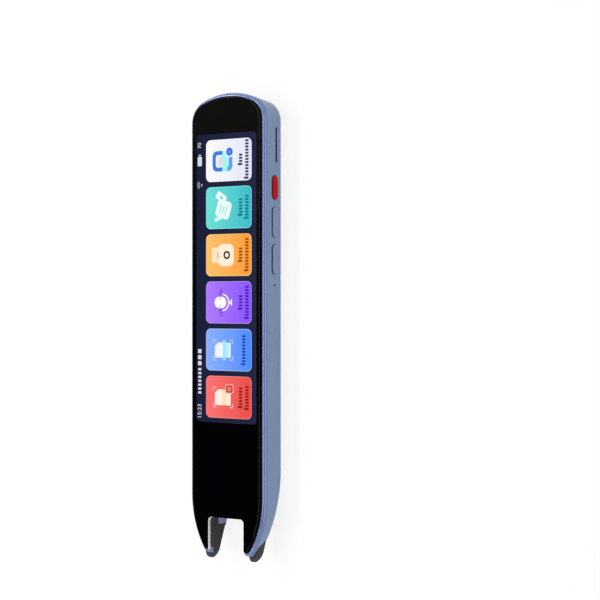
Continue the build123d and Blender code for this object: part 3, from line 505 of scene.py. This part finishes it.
def coverGlass(s):
    paint = Paint("coverGlass")
    smudge = paint.noise(*s["smudge"])
    deep = paint.blend(smudge, *map(tone, s["tones"]))
    # painted reflection, lighter towards the top end
    share = paint.spread(paint.axis("X"), *s["topReflectionFrom"]) * s["topReflectionShare"]
    black = paint.blend(share, deep, tone(s["upper"]))
    paint.put({
        # painted highlight on the glass at the notch's walls
        "Base Color": paint.blend(notchWall(paint, notchSet), black, tone(s["notch"])),
        "Roughness": s["roughness"] + paint.spread(smudge, *s["smudged"]) * s["smudgeRoughness"],
        "IOR": s["ior"],
        "Normal": paint.bump(paint.noise(*s["ripple"]), *s["bump"]),
    })
    return paint.material


carrierSet = {
    "grain": (3600, 3),
    "tones": ("060608", "0d0d10"),
    "notch": "404141",   # dark grey like the feet where the notch shows it
    "roughness": 0.5,
    "grained": 0.1,
    "ior": 1.3,
    "bump": (0.00003, 0.3),
}


def carrierMould(s):
    # black moulding behind the glass
    paint = Paint("carrierMould")
    grain = paint.noise(*s["grain"])
    black = paint.blend(grain, *map(tone, s["tones"]))
    paint.put({
        "Base Color": paint.blend(notchWall(paint, notchSet), black, tone(s["notch"])),
        "Roughness": s["roughness"] + grain * s["grained"],
        "IOR": s["ior"],
        "Normal": paint.bump(grain, *s["bump"]),
    })
    return paint.material


mouldSet = {
    "spark": (3600, 3),
    "scuff": (420, 4, (0.25, 1, 1)),
    "scuffed": (0.35, 0.7),   # the part of that noise that shows as scuffs
    "sparkRoughness": 0.12,
    "level": -0.06,
    "bump": (0.00003, 0.35),
    "kinds": {
        # name: dark and light tone, roughness and index of refraction
        "blackMould": ("060608", "0d0d10", 0.5, 1.3),
        "forkGrey": ("333434", "3f4040", 0.6, 1.3),
        "innerMould": ("16171a", "202226", 0.6, 1.45),
        "displayBack": ("14161f", "1c1f2b", 0.4, 1.45),
    },
}


def wornPlastic(name, s):
    # moulded plastic with a spark-eroded texture
    dark, light, roughness, ior = s["kinds"][name]
    paint = Paint(name)
    spark = paint.noise(*s["spark"])
    scuff = paint.spread(paint.noise(*s["scuff"]), *s["scuffed"])
    paint.put({
        "Base Color": paint.blend(scuff, tone(dark), tone(light)),
        "Roughness": roughness + spark * s["sparkRoughness"] + s["level"],
        "IOR": ior,
        "Normal": paint.bump(spark, *s["bump"]),
    })
    return paint.material


discSet = {
    "tint": (400, 1),
    "shades": ((0.02, 0.03, 0.04), (0.03, 0.04, 0.05)),
    "haze": (900, 2),
    "roughness": (0.03, 0.02),
    "film": (60, 1),
    "alpha": (0.16, 0.04),
    "ior": 1.45,
}


def clearDisc(s):
    paint = Paint("clearDisc")
    roughness, hazed = s["roughness"]
    alpha, filmed = s["alpha"]
    paint.put({
        "Base Color": paint.blend(paint.noise(*s["tint"]), *s["shades"]),
        "Roughness": roughness + paint.noise(*s["haze"]) * hazed,
        "Alpha": alpha + paint.noise(*s["film"]) * filmed,
        "IOR": s["ior"],
    })
    return paint.material


windowSet = {
    "fade": (-0.0566, -0.0515),   # x from the lighter to the darker end of a painted reflection
    "tones": ("2f3033", "17181a"),
    "haze": (500, 3),
    "hazed": (0.4, 0.8),
    "roughness": (0.06, 0.06),
    "alpha": (0.93, 0.03),
    "coat": (0.5, 0.03),
}


def filterGlass(s):
    # nearly black window that the print is read through, with a painted reflection lightening one
    # end
    paint = Paint("filterGlass")
    depth = paint.spread(paint.axis("X"), *s["fade"])
    haze = paint.noise(*s["haze"])
    roughness, hazeRoughness = s["roughness"]
    alpha, hazeAlpha = s["alpha"]
    coat, coatRoughness = s["coat"]
    paint.put({
        "Base Color": paint.blend(depth, *map(tone, s["tones"])),
        "Roughness": roughness + haze * hazeRoughness,
        "Alpha": alpha - paint.spread(haze, *s["hazed"]) * hazeAlpha,
        "Coat Weight": coat,
        "Coat Roughness": coatRoughness,
    })
    return paint.material


lensSet = {
    "x": 0.0470,
    "y": 0.0,
    "radius": 0.0032,
    # tones from the middle out: coated elements in dark steps
    "rings": (
        (0.0, "04060a"), (0.16, "0b0f16"), (0.2, "2b3c44"), (0.3, "050608"),
        (0.5, "0e161c"), (0.56, "39474c"), (0.62, "08090c"), (0.8, "15181c"),
        (0.86, "4a4a46"), (0.92, "101114"), (1.0, "2a2a2c"),
    ),
    # painted reflection of the coatings: orange on one side, blue on the other
    "reflectionTints": ("c98f4a", "4fa6d8"),
    "reflectionFrom": (-0.6, 0.9),    # across the lens, from one reflection tint to the other
    "reflectionFades": (1.0, 0.1),    # no painted reflection at the rim, all of it by here
    "reflectionShare": 0.4,
    "dust": (800, 2),
    "roughness": (0.12, 0.1),
    "coat": (0.8, 0.05),
}


def lensStack(s):
    # the camera's barrel, with a painted reflection of its coatings round one side
    paint = Paint("lensStack")
    across = (paint.axis("X") - s["x"]) * (1 / s["radius"])
    side = (paint.axis("Y") - s["y"]) * (1 / s["radius"])
    reach = (across * across + side * side) ** 0.5
    stops = [(position, tone(colour)) for position, colour in s["rings"]]
    rings = paint.node("ShaderNodeValToRGB", {"stops": stops}, {0: reach})
    tint = paint.blend(paint.spread(across + side, *s["reflectionFrom"]), *map(tone, s["reflectionTints"]))
    share = paint.spread(reach, *s["reflectionFades"]) * s["reflectionShare"]
    roughness, dusty = s["roughness"]
    coat, coatRoughness = s["coat"]
    paint.put({
        "Base Color": paint.blend(share, rings, tint),
        "Roughness": roughness + paint.noise(*s["dust"]) * dusty,
        "Coat Weight": coat,
        "Coat Roughness": coatRoughness,
    })
    return paint.material


meshSet = {
    "scale": 900.0,
    "tones": ("00040f", "10182c"),
    "roughness": 0.8,
    "specular": 0.2,
    "bump": (0.00004, 0.6),
}


def wovenMesh(s):
    paint = Paint("wovenMesh")
    weave = paint.wave("X", s["scale"]) * paint.wave("Y", s["scale"])
    paint.put({
        "Base Color": paint.blend(weave, *map(tone, s["tones"])),
        "Roughness": s["roughness"],
        "Specular IOR Level": s["specular"],
        "Normal": paint.bump(weave, *s["bump"]),
    })
    return paint.material


foamSet = {
    "cells": 2600.0,
    "dust": 600,
    "roughness": (0.85, 0.1),
    "bump": (0.00005, 0.5),
    "kinds": {"gasketFoam": ("1a1a1c", "2a2a2c"), "padFoam": ("202020", "303030")},
}


def foam(name, s):
    paint = Paint(name)
    sockets = {"Vector": paint.place(), "Scale": s["cells"]}
    cells = paint.node("ShaderNodeTexVoronoi", sockets=sockets)
    roughness, dusty = s["roughness"]
    paint.put({
        "Base Color": paint.blend(cells, *map(tone, s["kinds"][name])),
        "Roughness": roughness + paint.noise(s["dust"]) * dusty,
        "Normal": paint.bump(cells, *s["bump"]),
    })
    return paint.material


boardSet = {
    "runs": {"Scale": 420.0, "Mortar Size": 0.04},
    "offset": 0.5,
    "shades": ((0.01, 0.085, 0.03), (0.03, 0.16, 0.06)),
    "dust": 500,
    "roughness": (0.3, 0.15),
    "coat": 0.4,
    "bump": (0.00003, 0.4),
}


def solderMask(s):
    # circuit board: green mask over copper runs
    paint = Paint("solderMask")
    runs = {"Vector": paint.place(), **s["runs"]}
    copper = paint.node("ShaderNodeTexBrick", {"offset": s["offset"]}, runs, "Fac")
    roughness, dusty = s["roughness"]
    paint.put({
        "Base Color": paint.blend(copper, *s["shades"]),
        "Roughness": roughness + paint.noise(s["dust"]) * dusty,
        "Coat Weight": s["coat"],
        "Normal": paint.bump(copper, *s["bump"]),
    })
    return paint.material


metalSet = {
    "lines": (2400, 3),
    "dark": 0.85,               # share of the colour between the brush lines
    "lineRoughness": 0.16,
    "level": -0.08,
    "bump": (0.00001, 0.25),
    "kinds": {
        # name: colour, roughness and stretch of the brush lines
        "bezelGrey": (tone("868c9a"), 0.3, (1, 1, 1)),
        "sheetMetal": ((0.60, 0.60, 0.62), 0.35, (0.03, 1, 1)),
        "canMetal": ((0.56, 0.56, 0.57), 0.3, (0.03, 1, 1)),
        "screwSteel": ((0.42, 0.42, 0.44), 0.3, (1, 1, 1)),
        "microphoneCan": ((0.6, 0.57, 0.5), 0.3, (1, 1, 1)),
    },
}


def brushedMetal(name, s):
    colour, roughness, stretch = s["kinds"][name]
    paint = Paint(name)
    lines = paint.noise(*s["lines"], stretch)
    paint.put({
        "Base Color": paint.blend(lines, tuple(v * s["dark"] for v in colour), colour),
        "Metallic": 1.0,
        "Roughness": roughness + s["level"] + lines * s["lineRoughness"],
        "Normal": paint.bump(lines, *s["bump"]),
    })
    return paint.material


foilSet = {
    "creases": (160, 5),
    "shades": ((0.24, 0.25, 0.27), (0.36, 0.37, 0.39)),
    "metallic": 0.8,
    "roughness": (0.3, 0.2),
    "bump": (0.0002, 0.4),
}


def foilPouch(s):
    paint = Paint("foilPouch")
    creases = paint.noise(*s["creases"])
    roughness, creased = s["roughness"]
    paint.put({
        "Base Color": paint.blend(creases, *s["shades"]),
        "Metallic": s["metallic"],
        "Roughness": roughness + creases * creased,
        "Normal": paint.bump(creases, *s["bump"]),
    })
    return paint.material


ribbonSet = {
    "tracks": 700.0,
    "shades": ((0.42, 0.14, 0.02), (0.55, 0.24, 0.06)),
    "dust": 700,
    "roughness": (0.25, 0.1),
    "coat": 0.3,
    "bump": (0.00001, 0.3),
}


def polyimide(s):
    paint = Paint("polyimide")
    tracks = paint.wave("Y", s["tracks"])
    roughness, dusty = s["roughness"]
    paint.put({
        "Base Color": paint.blend(tracks, *s["shades"]),
        "Roughness": roughness + paint.noise(s["dust"]) * dusty,
        "Coat Weight": s["coat"],
        "Normal": paint.bump(tracks, *s["bump"]),
    })
    return paint.material


emitterSet = {
    "mottle": 1500,
    "shades": ((0.85, 0.78, 0.5), (0.75, 0.7, 0.45)),
    "dust": 900,
    "roughness": (0.4, 0.1),
}


def emitterPaint(s):
    paint = Paint("emitterPaint")
    roughness, dusty = s["roughness"]
    paint.put({
        "Base Color": paint.blend(paint.noise(s["mottle"]), *s["shades"]),
        "Roughness": roughness + paint.noise(s["dust"]) * dusty,
    })
    return paint.material


def dressNodes():
    mould = {name: wornPlastic(name, mouldSet) for name in mouldSet["kinds"]}
    metal = {name: brushedMetal(name, metalSet) for name in metalSet["kinds"]}
    soft = {name: foam(name, foamSet) for name in foamSet["kinds"]}
    keys, board, ribbon = keyShell(keySet), solderMask(boardSet), polyimide(ribbonSet)
    finishes = {
        # seen from outside
        "front_glass": coverGlass(glassSet),
        "front_frame": satinPaint("rimBlue", rimSet).material,
        "side_frame": bandShell(bandSet),
        "rear_cover": satinPaint("coverBlue", coverSet).material,
        "camera_speaker_plate": satinPaint("plateBlue", plateSet).material,
        "camera_bezel": metal["bezelGrey"],
        "camera_lens_cover": clearDisc(discSet),
        "camera_module": lensStack(lensSet),
        "speaker_mesh": wovenMesh(meshSet),
        "power_button": redSatin(redSet),
        "upper_key": keys,
        "lower_key": keys,
        "nib_fork": mould["forkGrey"],
        "glass_carrier": carrierMould(carrierSet),
        "scan_housing": satinPaint("housingBlue", housingSet).material,
        "scan_window_bezel": mould["blackMould"],
        "scan_window": filterGlass(windowSet),
        # inside
        "display_module": mould["displayBack"],
        "display_flex": ribbon,
        "antenna_flex": ribbon,
        "inner_chassis": metal["sheetMetal"],
        "chassis_screws": metal["screwSteel"],
        "main_board": board,
        "scan_board": board,
        "side_key_board": board,
        "processor_shield": metal["canMetal"],
        "usb_port": metal["canMetal"],
        "card_socket": metal["canMetal"],
        "side_key_switches": metal["canMetal"],
        "side_microphone": metal["microphoneCan"],
        "top_microphone": metal["microphoneCan"],
        "battery": foilPouch(foilSet),
        "battery_pad": soft["padFoam"],
        "speaker_gasket": soft["gasketFoam"],
        "speaker_module": mould["innerMould"],
        "nib_springs": metal["screwSteel"],
        "nib_switch": mould["innerMould"],
        "scan_camera_module": mould["innerMould"],
        "scan_leds": emitterPaint(emitterSet),
    }
    for name, material in finishes.items():
        for holder in cadNodes[name].material_slots:
            holder.material = material
    left = sorted(set(cadNodes) - set(finishes))
    print("finishes given to", len(finishes), "nodes, left plain:", left)


dressNodes()


# the lit screen: thin shapes that lie on the glass

screenSet = {
    "face": cadHigh.z,   # the glass's outer face
    "step": 0.000007,    # from one layer of shapes to the next
    "thick": 0.000006,
    "mottle": (40, 1),
    "shade": 0.97,
    "glow": 1.0,
    "ior": 1.12,
    "roughness": 0.07,
    "cornerSteps": 6,
    "discSides": 40,
    "numberSteps": 3,
}


def litPaint(name, colour, farColour=None, span=None):
    # a screen colour, in its own light; with two colours it fades from +Y to -Y over the span
    s = screenSet
    paint = Paint(name)
    if farColour:
        shown = paint.blend(paint.spread(paint.axis("Y"), span[1], span[0]), farColour, colour)
    else:
        dimmer = tuple(v * s["shade"] for v in colour)
        shown = paint.blend(paint.noise(*s["mottle"]), colour, dimmer)
    paint.put({
        "Base Color": (0, 0, 0),
        "Emission Color": shown,
        "Emission Strength": s["glow"],
        "Roughness": s["roughness"],
        "IOR": s["ior"],
    })
    return paint.material


def selectVerts(piece, test):
    bpy.ops.mesh.select_mode(type="VERT")
    bpy.ops.mesh.select_all(action="DESELECT")
    mesh = bmesh.from_edit_mesh(piece.data)
    for vert in mesh.verts:
        vert.select_set(test(vert.co))
    mesh.select_flush(True)
    bmesh.update_edit_mesh(piece.data)


def layerHeight(shape):
    return screenSet["face"] + screenSet["step"] * (shape["layer"] - 1)


def layOnGlass(piece, shape, height, paint):
    piece.location = (*shape["at"], height)
    piece.rotation_euler = (0, 0, math.radians(shape.get("turn", 0)))
    bpy.ops.object.transform_apply(location=True, rotation=True, scale=True)
    piece.data.materials.append(paint)
    return piece


def finishShape(piece, shape, paint):
    # cuts the flat outline in edit mode, gives it its thickness and lays it on the glass
    for spot, direction in shape.get("cuts", ()):
        bpy.ops.mesh.select_all(action="SELECT")
        bpy.ops.mesh.bisect(plane_co=(*spot, 0), plane_no=(*direction, 0), clear_outer=True)
    bpy.ops.mesh.select_all(action="SELECT")
    bpy.ops.mesh.extrude_region_move(TRANSFORM_OT_translate={"value": (0, 0, screenSet["thick"])})
    bpy.ops.mesh.select_all(action="SELECT")
    bpy.ops.mesh.normals_make_consistent(inside=False)
    bpy.ops.object.mode_set(mode="OBJECT")
    if "row" in shape:
        count, pitch = shape["row"]
        array = piece.modifiers.new("letters", "ARRAY")
        array.count = count
        array.use_relative_offset = False
        array.use_constant_offset = True
        array.constant_offset_displace = (pitch, 0, 0)
        bpy.ops.object.modifier_apply(modifier=array.name)
    return layOnGlass(piece, shape, layerHeight(shape), paint)


def addBar(shape, paint):
    # a rectangle with round or cut corners, or a row of them; sizes in metres, X first
    deselectAll()
    bpy.ops.mesh.primitive_plane_add(size=1)
    piece = bpy.context.object
    bpy.ops.object.mode_set(mode="EDIT")
    bpy.ops.mesh.select_all(action="SELECT")
    bpy.ops.transform.resize(value=(*shape["size"], 1))
    if "cutCorner" in shape:
        selectVerts(piece, lambda co: co.x > 0 and co.y > 0)
        bpy.ops.mesh.bevel(offset=shape["cutCorner"], segments=1, affect="VERTICES")
        bpy.ops.mesh.select_all(action="SELECT")
    if "round" in shape:
        steps = shape.get("steps", screenSet["cornerSteps"])
        bpy.ops.mesh.bevel(offset=shape["round"], segments=steps, affect="VERTICES")
    return finishShape(piece, shape, paint)


def addDisc(shape, paint):
    # a disc, or a ring where it has a band
    deselectAll()
    sides = screenSet["discSides"]
    bpy.ops.mesh.primitive_circle_add(vertices=sides, radius=shape["radius"], fill_type="NGON")
    piece = bpy.context.object
    bpy.ops.object.mode_set(mode="EDIT")
    bpy.ops.mesh.select_all(action="SELECT")
    if "band" in shape:
        bpy.ops.mesh.inset(thickness=shape["band"])
        bpy.ops.mesh.delete(type="FACE")
    return finishShape(piece, shape, paint)


def addNumbers(shape, paint):
    deselectAll()
    bpy.ops.object.text_add()
    text = bpy.context.object
    text.data.body = shape["text"]
    text.data.size = shape["height"]
    text.data.align_x = "CENTER"
    text.data.align_y = "CENTER"
    text.data.extrude = screenSet["thick"] / 2
    text.data.resolution_u = screenSet["numberSteps"]
    bpy.ops.object.convert(target="MESH")
    height = layerHeight(shape) + screenSet["thick"] / 2
    return layOnGlass(bpy.context.object, shape, height, paint)


def joinPieces(name, parts):
    deselectAll()
    for part in parts:
        part.select_set(True)
    bpy.context.view_layer.objects.active = parts[0]
    if len(parts) > 1:
        bpy.ops.object.join()
    piece = bpy.context.object
    piece.name = name
    piece.data.name = name
    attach(piece, "casing")


panelSet = {
    "at": (15.1 * mm, -0.18 * mm),
    "size": (90.2 * mm, 23.5 * mm),
    "round": 1.5 * mm,
    "layer": 1,
    "tones": ("1d2039", "252843"),
    "fade": 11.6 * mm,   # from the middle to where each tone is full
}


def addPanel(s):
    middle = s["at"][1]
    near, far = map(tone, s["tones"])
    paint = litPaint("panelNavy", near, far, (middle + s["fade"], middle - s["fade"]))
    joinPieces("screenPanel", [addBar(s, paint)])


tileSet = {
    "size": (13.1 * mm, 17.75 * mm),
    "round": 1.7 * mm,
    "edge": 0.14 * mm,
    "y": -1.21 * mm,
    "lines": (-5.9 * mm, -8.3 * mm),   # where the two label lines lie
    "letter": (0.66 * mm, 1.3 * mm),
    "capital": (0.7 * mm, 1.8 * mm),
    "capitalRise": 0.25 * mm,
    "letterRound": 0.2 * mm,
    "letterSteps": 2,
    "pitch": 0.96 * mm,
    "layer": 2,
    "tiles": {
        # name: x, near and far colour, edge, label colour, letters in each line
        "whiteTile": (51.8 * mm, "fdfdff", "e3e6fa", "ffffff", "38405c", (4, 13)),
        "tealTile": (37.05 * mm, "6fe2d8", "3cbccb", "9af3e6", "1c7f86", (6, 8)),
        "orangeTile": (22.3 * mm, "ffc36a", "ff9b3a", "ffd892", "9a5a14", (5, 11)),
        "purpleTile": (7.55 * mm, "b07bff", "8955fb", "caa3ff", "5326b4", (5, 11)),
        "blueTile": (-7.2 * mm, "8cb2ff", "4c8aff", "b3d2ff", "1d4fae", (0, 10)),
        "redTile": (-21.95 * mm, "fd7474", "ea4f47", "ff9c98", "962521", (7, 8)),
    },
}


def addLabel(s, x, letters, paint):
    # a label's lines: a taller first block and a row of letter blocks, or one line in the middle
    bars = []
    for count, y in zip(letters, s["lines"]):
        if not count:
            continue
        if not letters[0]:
            y = sum(s["lines"]) / 2
        start = x - s["pitch"] * (count - 1) / 2
        first = {"at": (start, y + s["capitalRise"]), "size": s["capital"], "layer": s["layer"] + 2,
                 "round": s["letterRound"], "steps": s["letterSteps"]}
        rest = dict(first, at=(start + s["pitch"], y), size=s["letter"])
        rest["row"] = (count - 1, s["pitch"])
        bars += [addBar(first, paint), addBar(rest, paint)]
    return bars


def addTiles(s):
    wide, tall = s["size"]
    span = (s["y"] + tall / 2, s["y"] - tall / 2)
    innerSize = (wide - 2 * s["edge"], tall - 2 * s["edge"])
    for name, (x, near, far, edge, label, letters) in s["tiles"].items():
        outer = {"at": (x, s["y"]), "size": s["size"], "round": s["round"], "layer": s["layer"]}
        inner = dict(outer, size=innerSize, layer=s["layer"] + 1)
        parts = [
            addBar(outer, litPaint(name + "Edge", tone(edge))),
            addBar(inner, litPaint(name + "Face", tone(near), tone(far), span)),
        ]
        parts += addLabel(s, x, letters, litPaint(name + "Label", tone(label)))
        joinPieces(name, parts)


addPanel(panelSet)
addTiles(tileSet)
print("screen panel and tiles made")


# the tiles' icons, in millimetres from each tile's middle

def addIcon(name, tile, shapes):
    x = tileSet["tiles"][tile][0]
    parts = []
    paints = {}
    for kind, at, colour, more in shapes:
        if colour not in paints:
            paints[colour] = litPaint(name + "_" + colour, tone(colour))
        shape = dict(more)
        for key in ("radius", "band", "round", "cutCorner"):
            if key in more:
                shape[key] = more[key] * mm
        if "size" in more:
            shape["size"] = tuple(value * mm for value in more["size"])
        if "cuts" in more:
            shape["cuts"] = [((sx * mm, sy * mm), way) for (sx, sy), way in more["cuts"]]
        shape["at"] = (x + at[0] * mm, tileSet["y"] + at[1] * mm)
        shape["layer"] = tileSet["layer"] + 1 + more.get("layer", 1)
        add = addBar if kind == "bar" else addDisc
        parts.append(add(shape, paints[colour]))
    joinPieces(name, parts)


markSet = {"half": (3.1, 3.75), "arm": 1.3, "width": 0.35, "middle": (-0.1, 2.2)}


def cornerMarks(s, colour):
    # four corner marks round a picture
    marks = []
    arm, width = s["arm"], s["width"]
    for sx in (-1, 1):
        for sy in (-1, 1):
            x = s["middle"][0] + sx * s["half"][0]
            y = s["middle"][1] + sy * s["half"][1]
            marks.append(("bar", (x - sx * (arm - width) / 2, y), colour, {"size": (arm, width)}))
            marks.append(("bar", (x, y - sy * arm / 2), colour, {"size": (width, arm - width)}))
    return marks


iconSet = {
    # name: its tile, and its shapes by kind, middle, colour and sizes
    "frameIcon": ("whiteTile", [
        ("bar", (-0.2, 2.4), "3f7de8", {"size": (6.4, 7.8), "round": 1.7}),
        ("bar", (-0.2, 2.4), "58a9f0", {"size": (6.4, 7.8), "round": 1.7, "layer": 2,
                                        "cuts": [((0, -0.3), (0, 1))]}),
        ("bar", (-0.2, 2.5), "f6f4fb", {"size": (3.9, 5.0), "round": 0.8, "layer": 3}),
        ("bar", (-0.2, 2.95), "e3dfea", {"size": (3.0, 2.2), "round": 0.4, "layer": 4}),
        ("bar", (-0.2, 1.45), "9dfcf6", {"size": (6.4, 1.9), "layer": 4}),
        ("disc", (2.6, -0.35), "f6f8ff", {"radius": 1.75, "layer": 5}),
        ("disc", (2.6, -0.35), "3a78ea", {"radius": 1.3, "layer": 6}),
        ("bar", (2.6, -0.35), "8cc4ff", {"size": (0.9, 0.35), "layer": 7}),
    ]),
    "pageIcon": ("tealTile", [
        ("bar", (-0.5, 2.0), "eafffb", {"size": (5.6, 5.6), "round": 1.2, "turn": -18}),
        ("bar", (-3.1, 3.4), "d2f7f2", {"size": (1.3, 4.4), "round": 0.5, "turn": 20}),
        ("bar", (3.3, 2.9), "f3fffd", {"size": (2.4, 4.0), "round": 0.5, "turn": -32, "layer": 2}),
        ("bar", (3.2, 2.8), "8fded8", {"size": (0.9, 1.3), "round": 0.2, "turn": -32, "layer": 3}),
        ("bar", (-0.5, 3.2), "a9e6e0", {"size": (3.2, 0.4), "turn": -18, "layer": 3}),
        ("bar", (-0.8, 2.1), "a9e6e0", {"size": (2.4, 0.4), "turn": -18, "layer": 3}),
        ("bar", (-1.0, 1.0), "a9e6e0", {"size": (3.0, 0.4), "turn": -18, "layer": 3}),
    ]),
    "cameraIcon": ("orangeTile", [
        ("bar", (0.0, 4.8), "ffe9c4", {"size": (4.8, 3.6), "round": 0.7}),
        ("bar", (0.0, 4.2), "f7b163", {"size": (2.4, 0.45), "layer": 2}),
        ("bar", (0.0, 3.5), "f7b163", {"size": (1.6, 0.45), "layer": 2}),
        ("bar", (0.0, 1.0), "fff1dc", {"size": (6.9, 6.0), "round": 1.6, "layer": 2}),
        ("disc", (0.0, 0.7), "3d2a1c", {"radius": 1.3, "band": 0.6, "layer": 3}),
    ]),
    "voiceIcon": ("purpleTile", [
        ("bar", (0.0, 3.2), "ffffff", {"size": (3.5, 4.6), "round": 1.7}),
        ("disc", (0.0, 2.5), "ffffff", {"radius": 2.75, "band": 0.42,
                                        "cuts": [((0, -0.1), (0, 1))]}),
        ("bar", (0.0, -0.7), "ffffff", {"size": (0.6, 1.0)}),
        ("bar", (0.0, -1.1), "ffffff", {"size": (2.0, 0.45), "round": 0.15}),
        # sound marks at both sides, and two lines on the microphone
        *[("bar", (side * x, 2.9), "6a3ad8", {"size": (0.4, tall)})
          for side in (1, -1) for x, tall in ((2.5, 1.9), (3.3, 1.2), (4.1, 0.7))],
        *[("bar", (x, 3.4), "a98bf0", {"size": (0.9, 0.3), "layer": 2}) for x in (1.2, -1.2)],
    ]),
    "scanIcon": ("blueTile", [
        ("bar", (-0.1, 2.3), "f2f6ff", {"size": (4.7, 6.2), "cutCorner": 1.2}),
        ("bar", (-0.1, 1.0), "b6f2fa", {"size": (4.7, 2.3), "layer": 2}),
        ("bar", (-0.1, 1.7), "9fe9f7", {"size": (6.2, 1.0), "layer": 3}),
        *cornerMarks(markSet, "b9d6ff"),
    ]),
    "storedIcon": ("redTile", [
        ("bar", (-0.1, 2.3), "fff0e6", {"size": (4.9, 6.2), "cutCorner": 1.2}),
        ("bar", (-0.1, 1.6), "ffe2c0", {"size": (4.9, 1.9), "layer": 2}),
        *cornerMarks(markSet, "ffbdb6"),
        ("bar", (2.6, -0.3), "ffb9b3", {"size": (3.0, 3.3), "round": 0.8, "layer": 3}),
        ("bar", (2.6, -0.3), "dd4740", {"size": (2.4, 2.7), "round": 0.6, "layer": 4}),
        ("disc", (2.6, -0.3), "ffb9b3", {"radius": 0.6, "band": 0.22, "layer": 5}),
    ]),
}
for iconName, (iconTile, iconShapes) in iconSet.items():
    addIcon(iconName, iconTile, iconShapes)
print("tile icons made")


# the status line along the +Y edge

statusSet = {
    "y": 10.2 * mm,
    "layer": 2,
    "colour": "d9dbe6",
    "dimColour": "a4a8bd",
    "numbers": (
        {"x": -26.7 * mm, "text": "15:23", "height": 2.1 * mm},
        {"x": 56.9 * mm, "text": "70", "height": 1.9 * mm},
    ),
    # the battery and its end, and two groups of blocks
    "bars": (
        {"x": 51.9 * mm, "size": (3.0 * mm, 1.7 * mm), "round": 0.35 * mm},
        {"x": 53.8 * mm, "size": (0.4 * mm, 0.9 * mm)},
        {"x": -20.8 * mm, "size": (0.7 * mm, 1.25 * mm), "round": 0.15 * mm, "steps": 2,
         "row": (7, 1.22 * mm)},
        {"x": -11.6 * mm, "size": (1.3 * mm, 1.4 * mm), "round": 0.2 * mm, "steps": 2,
         "row": (3, 1.9 * mm)},
    ),
    "waves": {"x": 44.4 * mm, "drop": 0.8 * mm, "radii": (1.75 * mm, 1.15 * mm), "band": 0.28 * mm,
              "dot": 0.35 * mm, "cuts": (((0, 0), (-1, -1)), ((0, 0), (1, -1)))},
}


def addStatus(s):
    bright = litPaint("statusWhite", tone(s["colour"]))
    dim = litPaint("statusDim", tone(s["dimColour"]))
    parts = []
    for add, shapes in ((addNumbers, s["numbers"]), (addBar, s["bars"])):
        for shape in shapes:
            parts.append(add(dict(shape, at=(shape["x"], s["y"]), layer=s["layer"]), bright))
    waves = s["waves"]
    middle = {"at": (waves["x"], s["y"] - waves["drop"]), "layer": s["layer"]}
    for radius in waves["radii"]:
        ring = dict(middle, radius=radius, band=waves["band"], cuts=waves["cuts"])
        parts.append(addDisc(ring, dim))
    parts.append(addDisc(dict(middle, radius=waves["dot"]), dim))
    joinPieces("statusLine", parts)


addStatus(statusSet)
print("status line made")
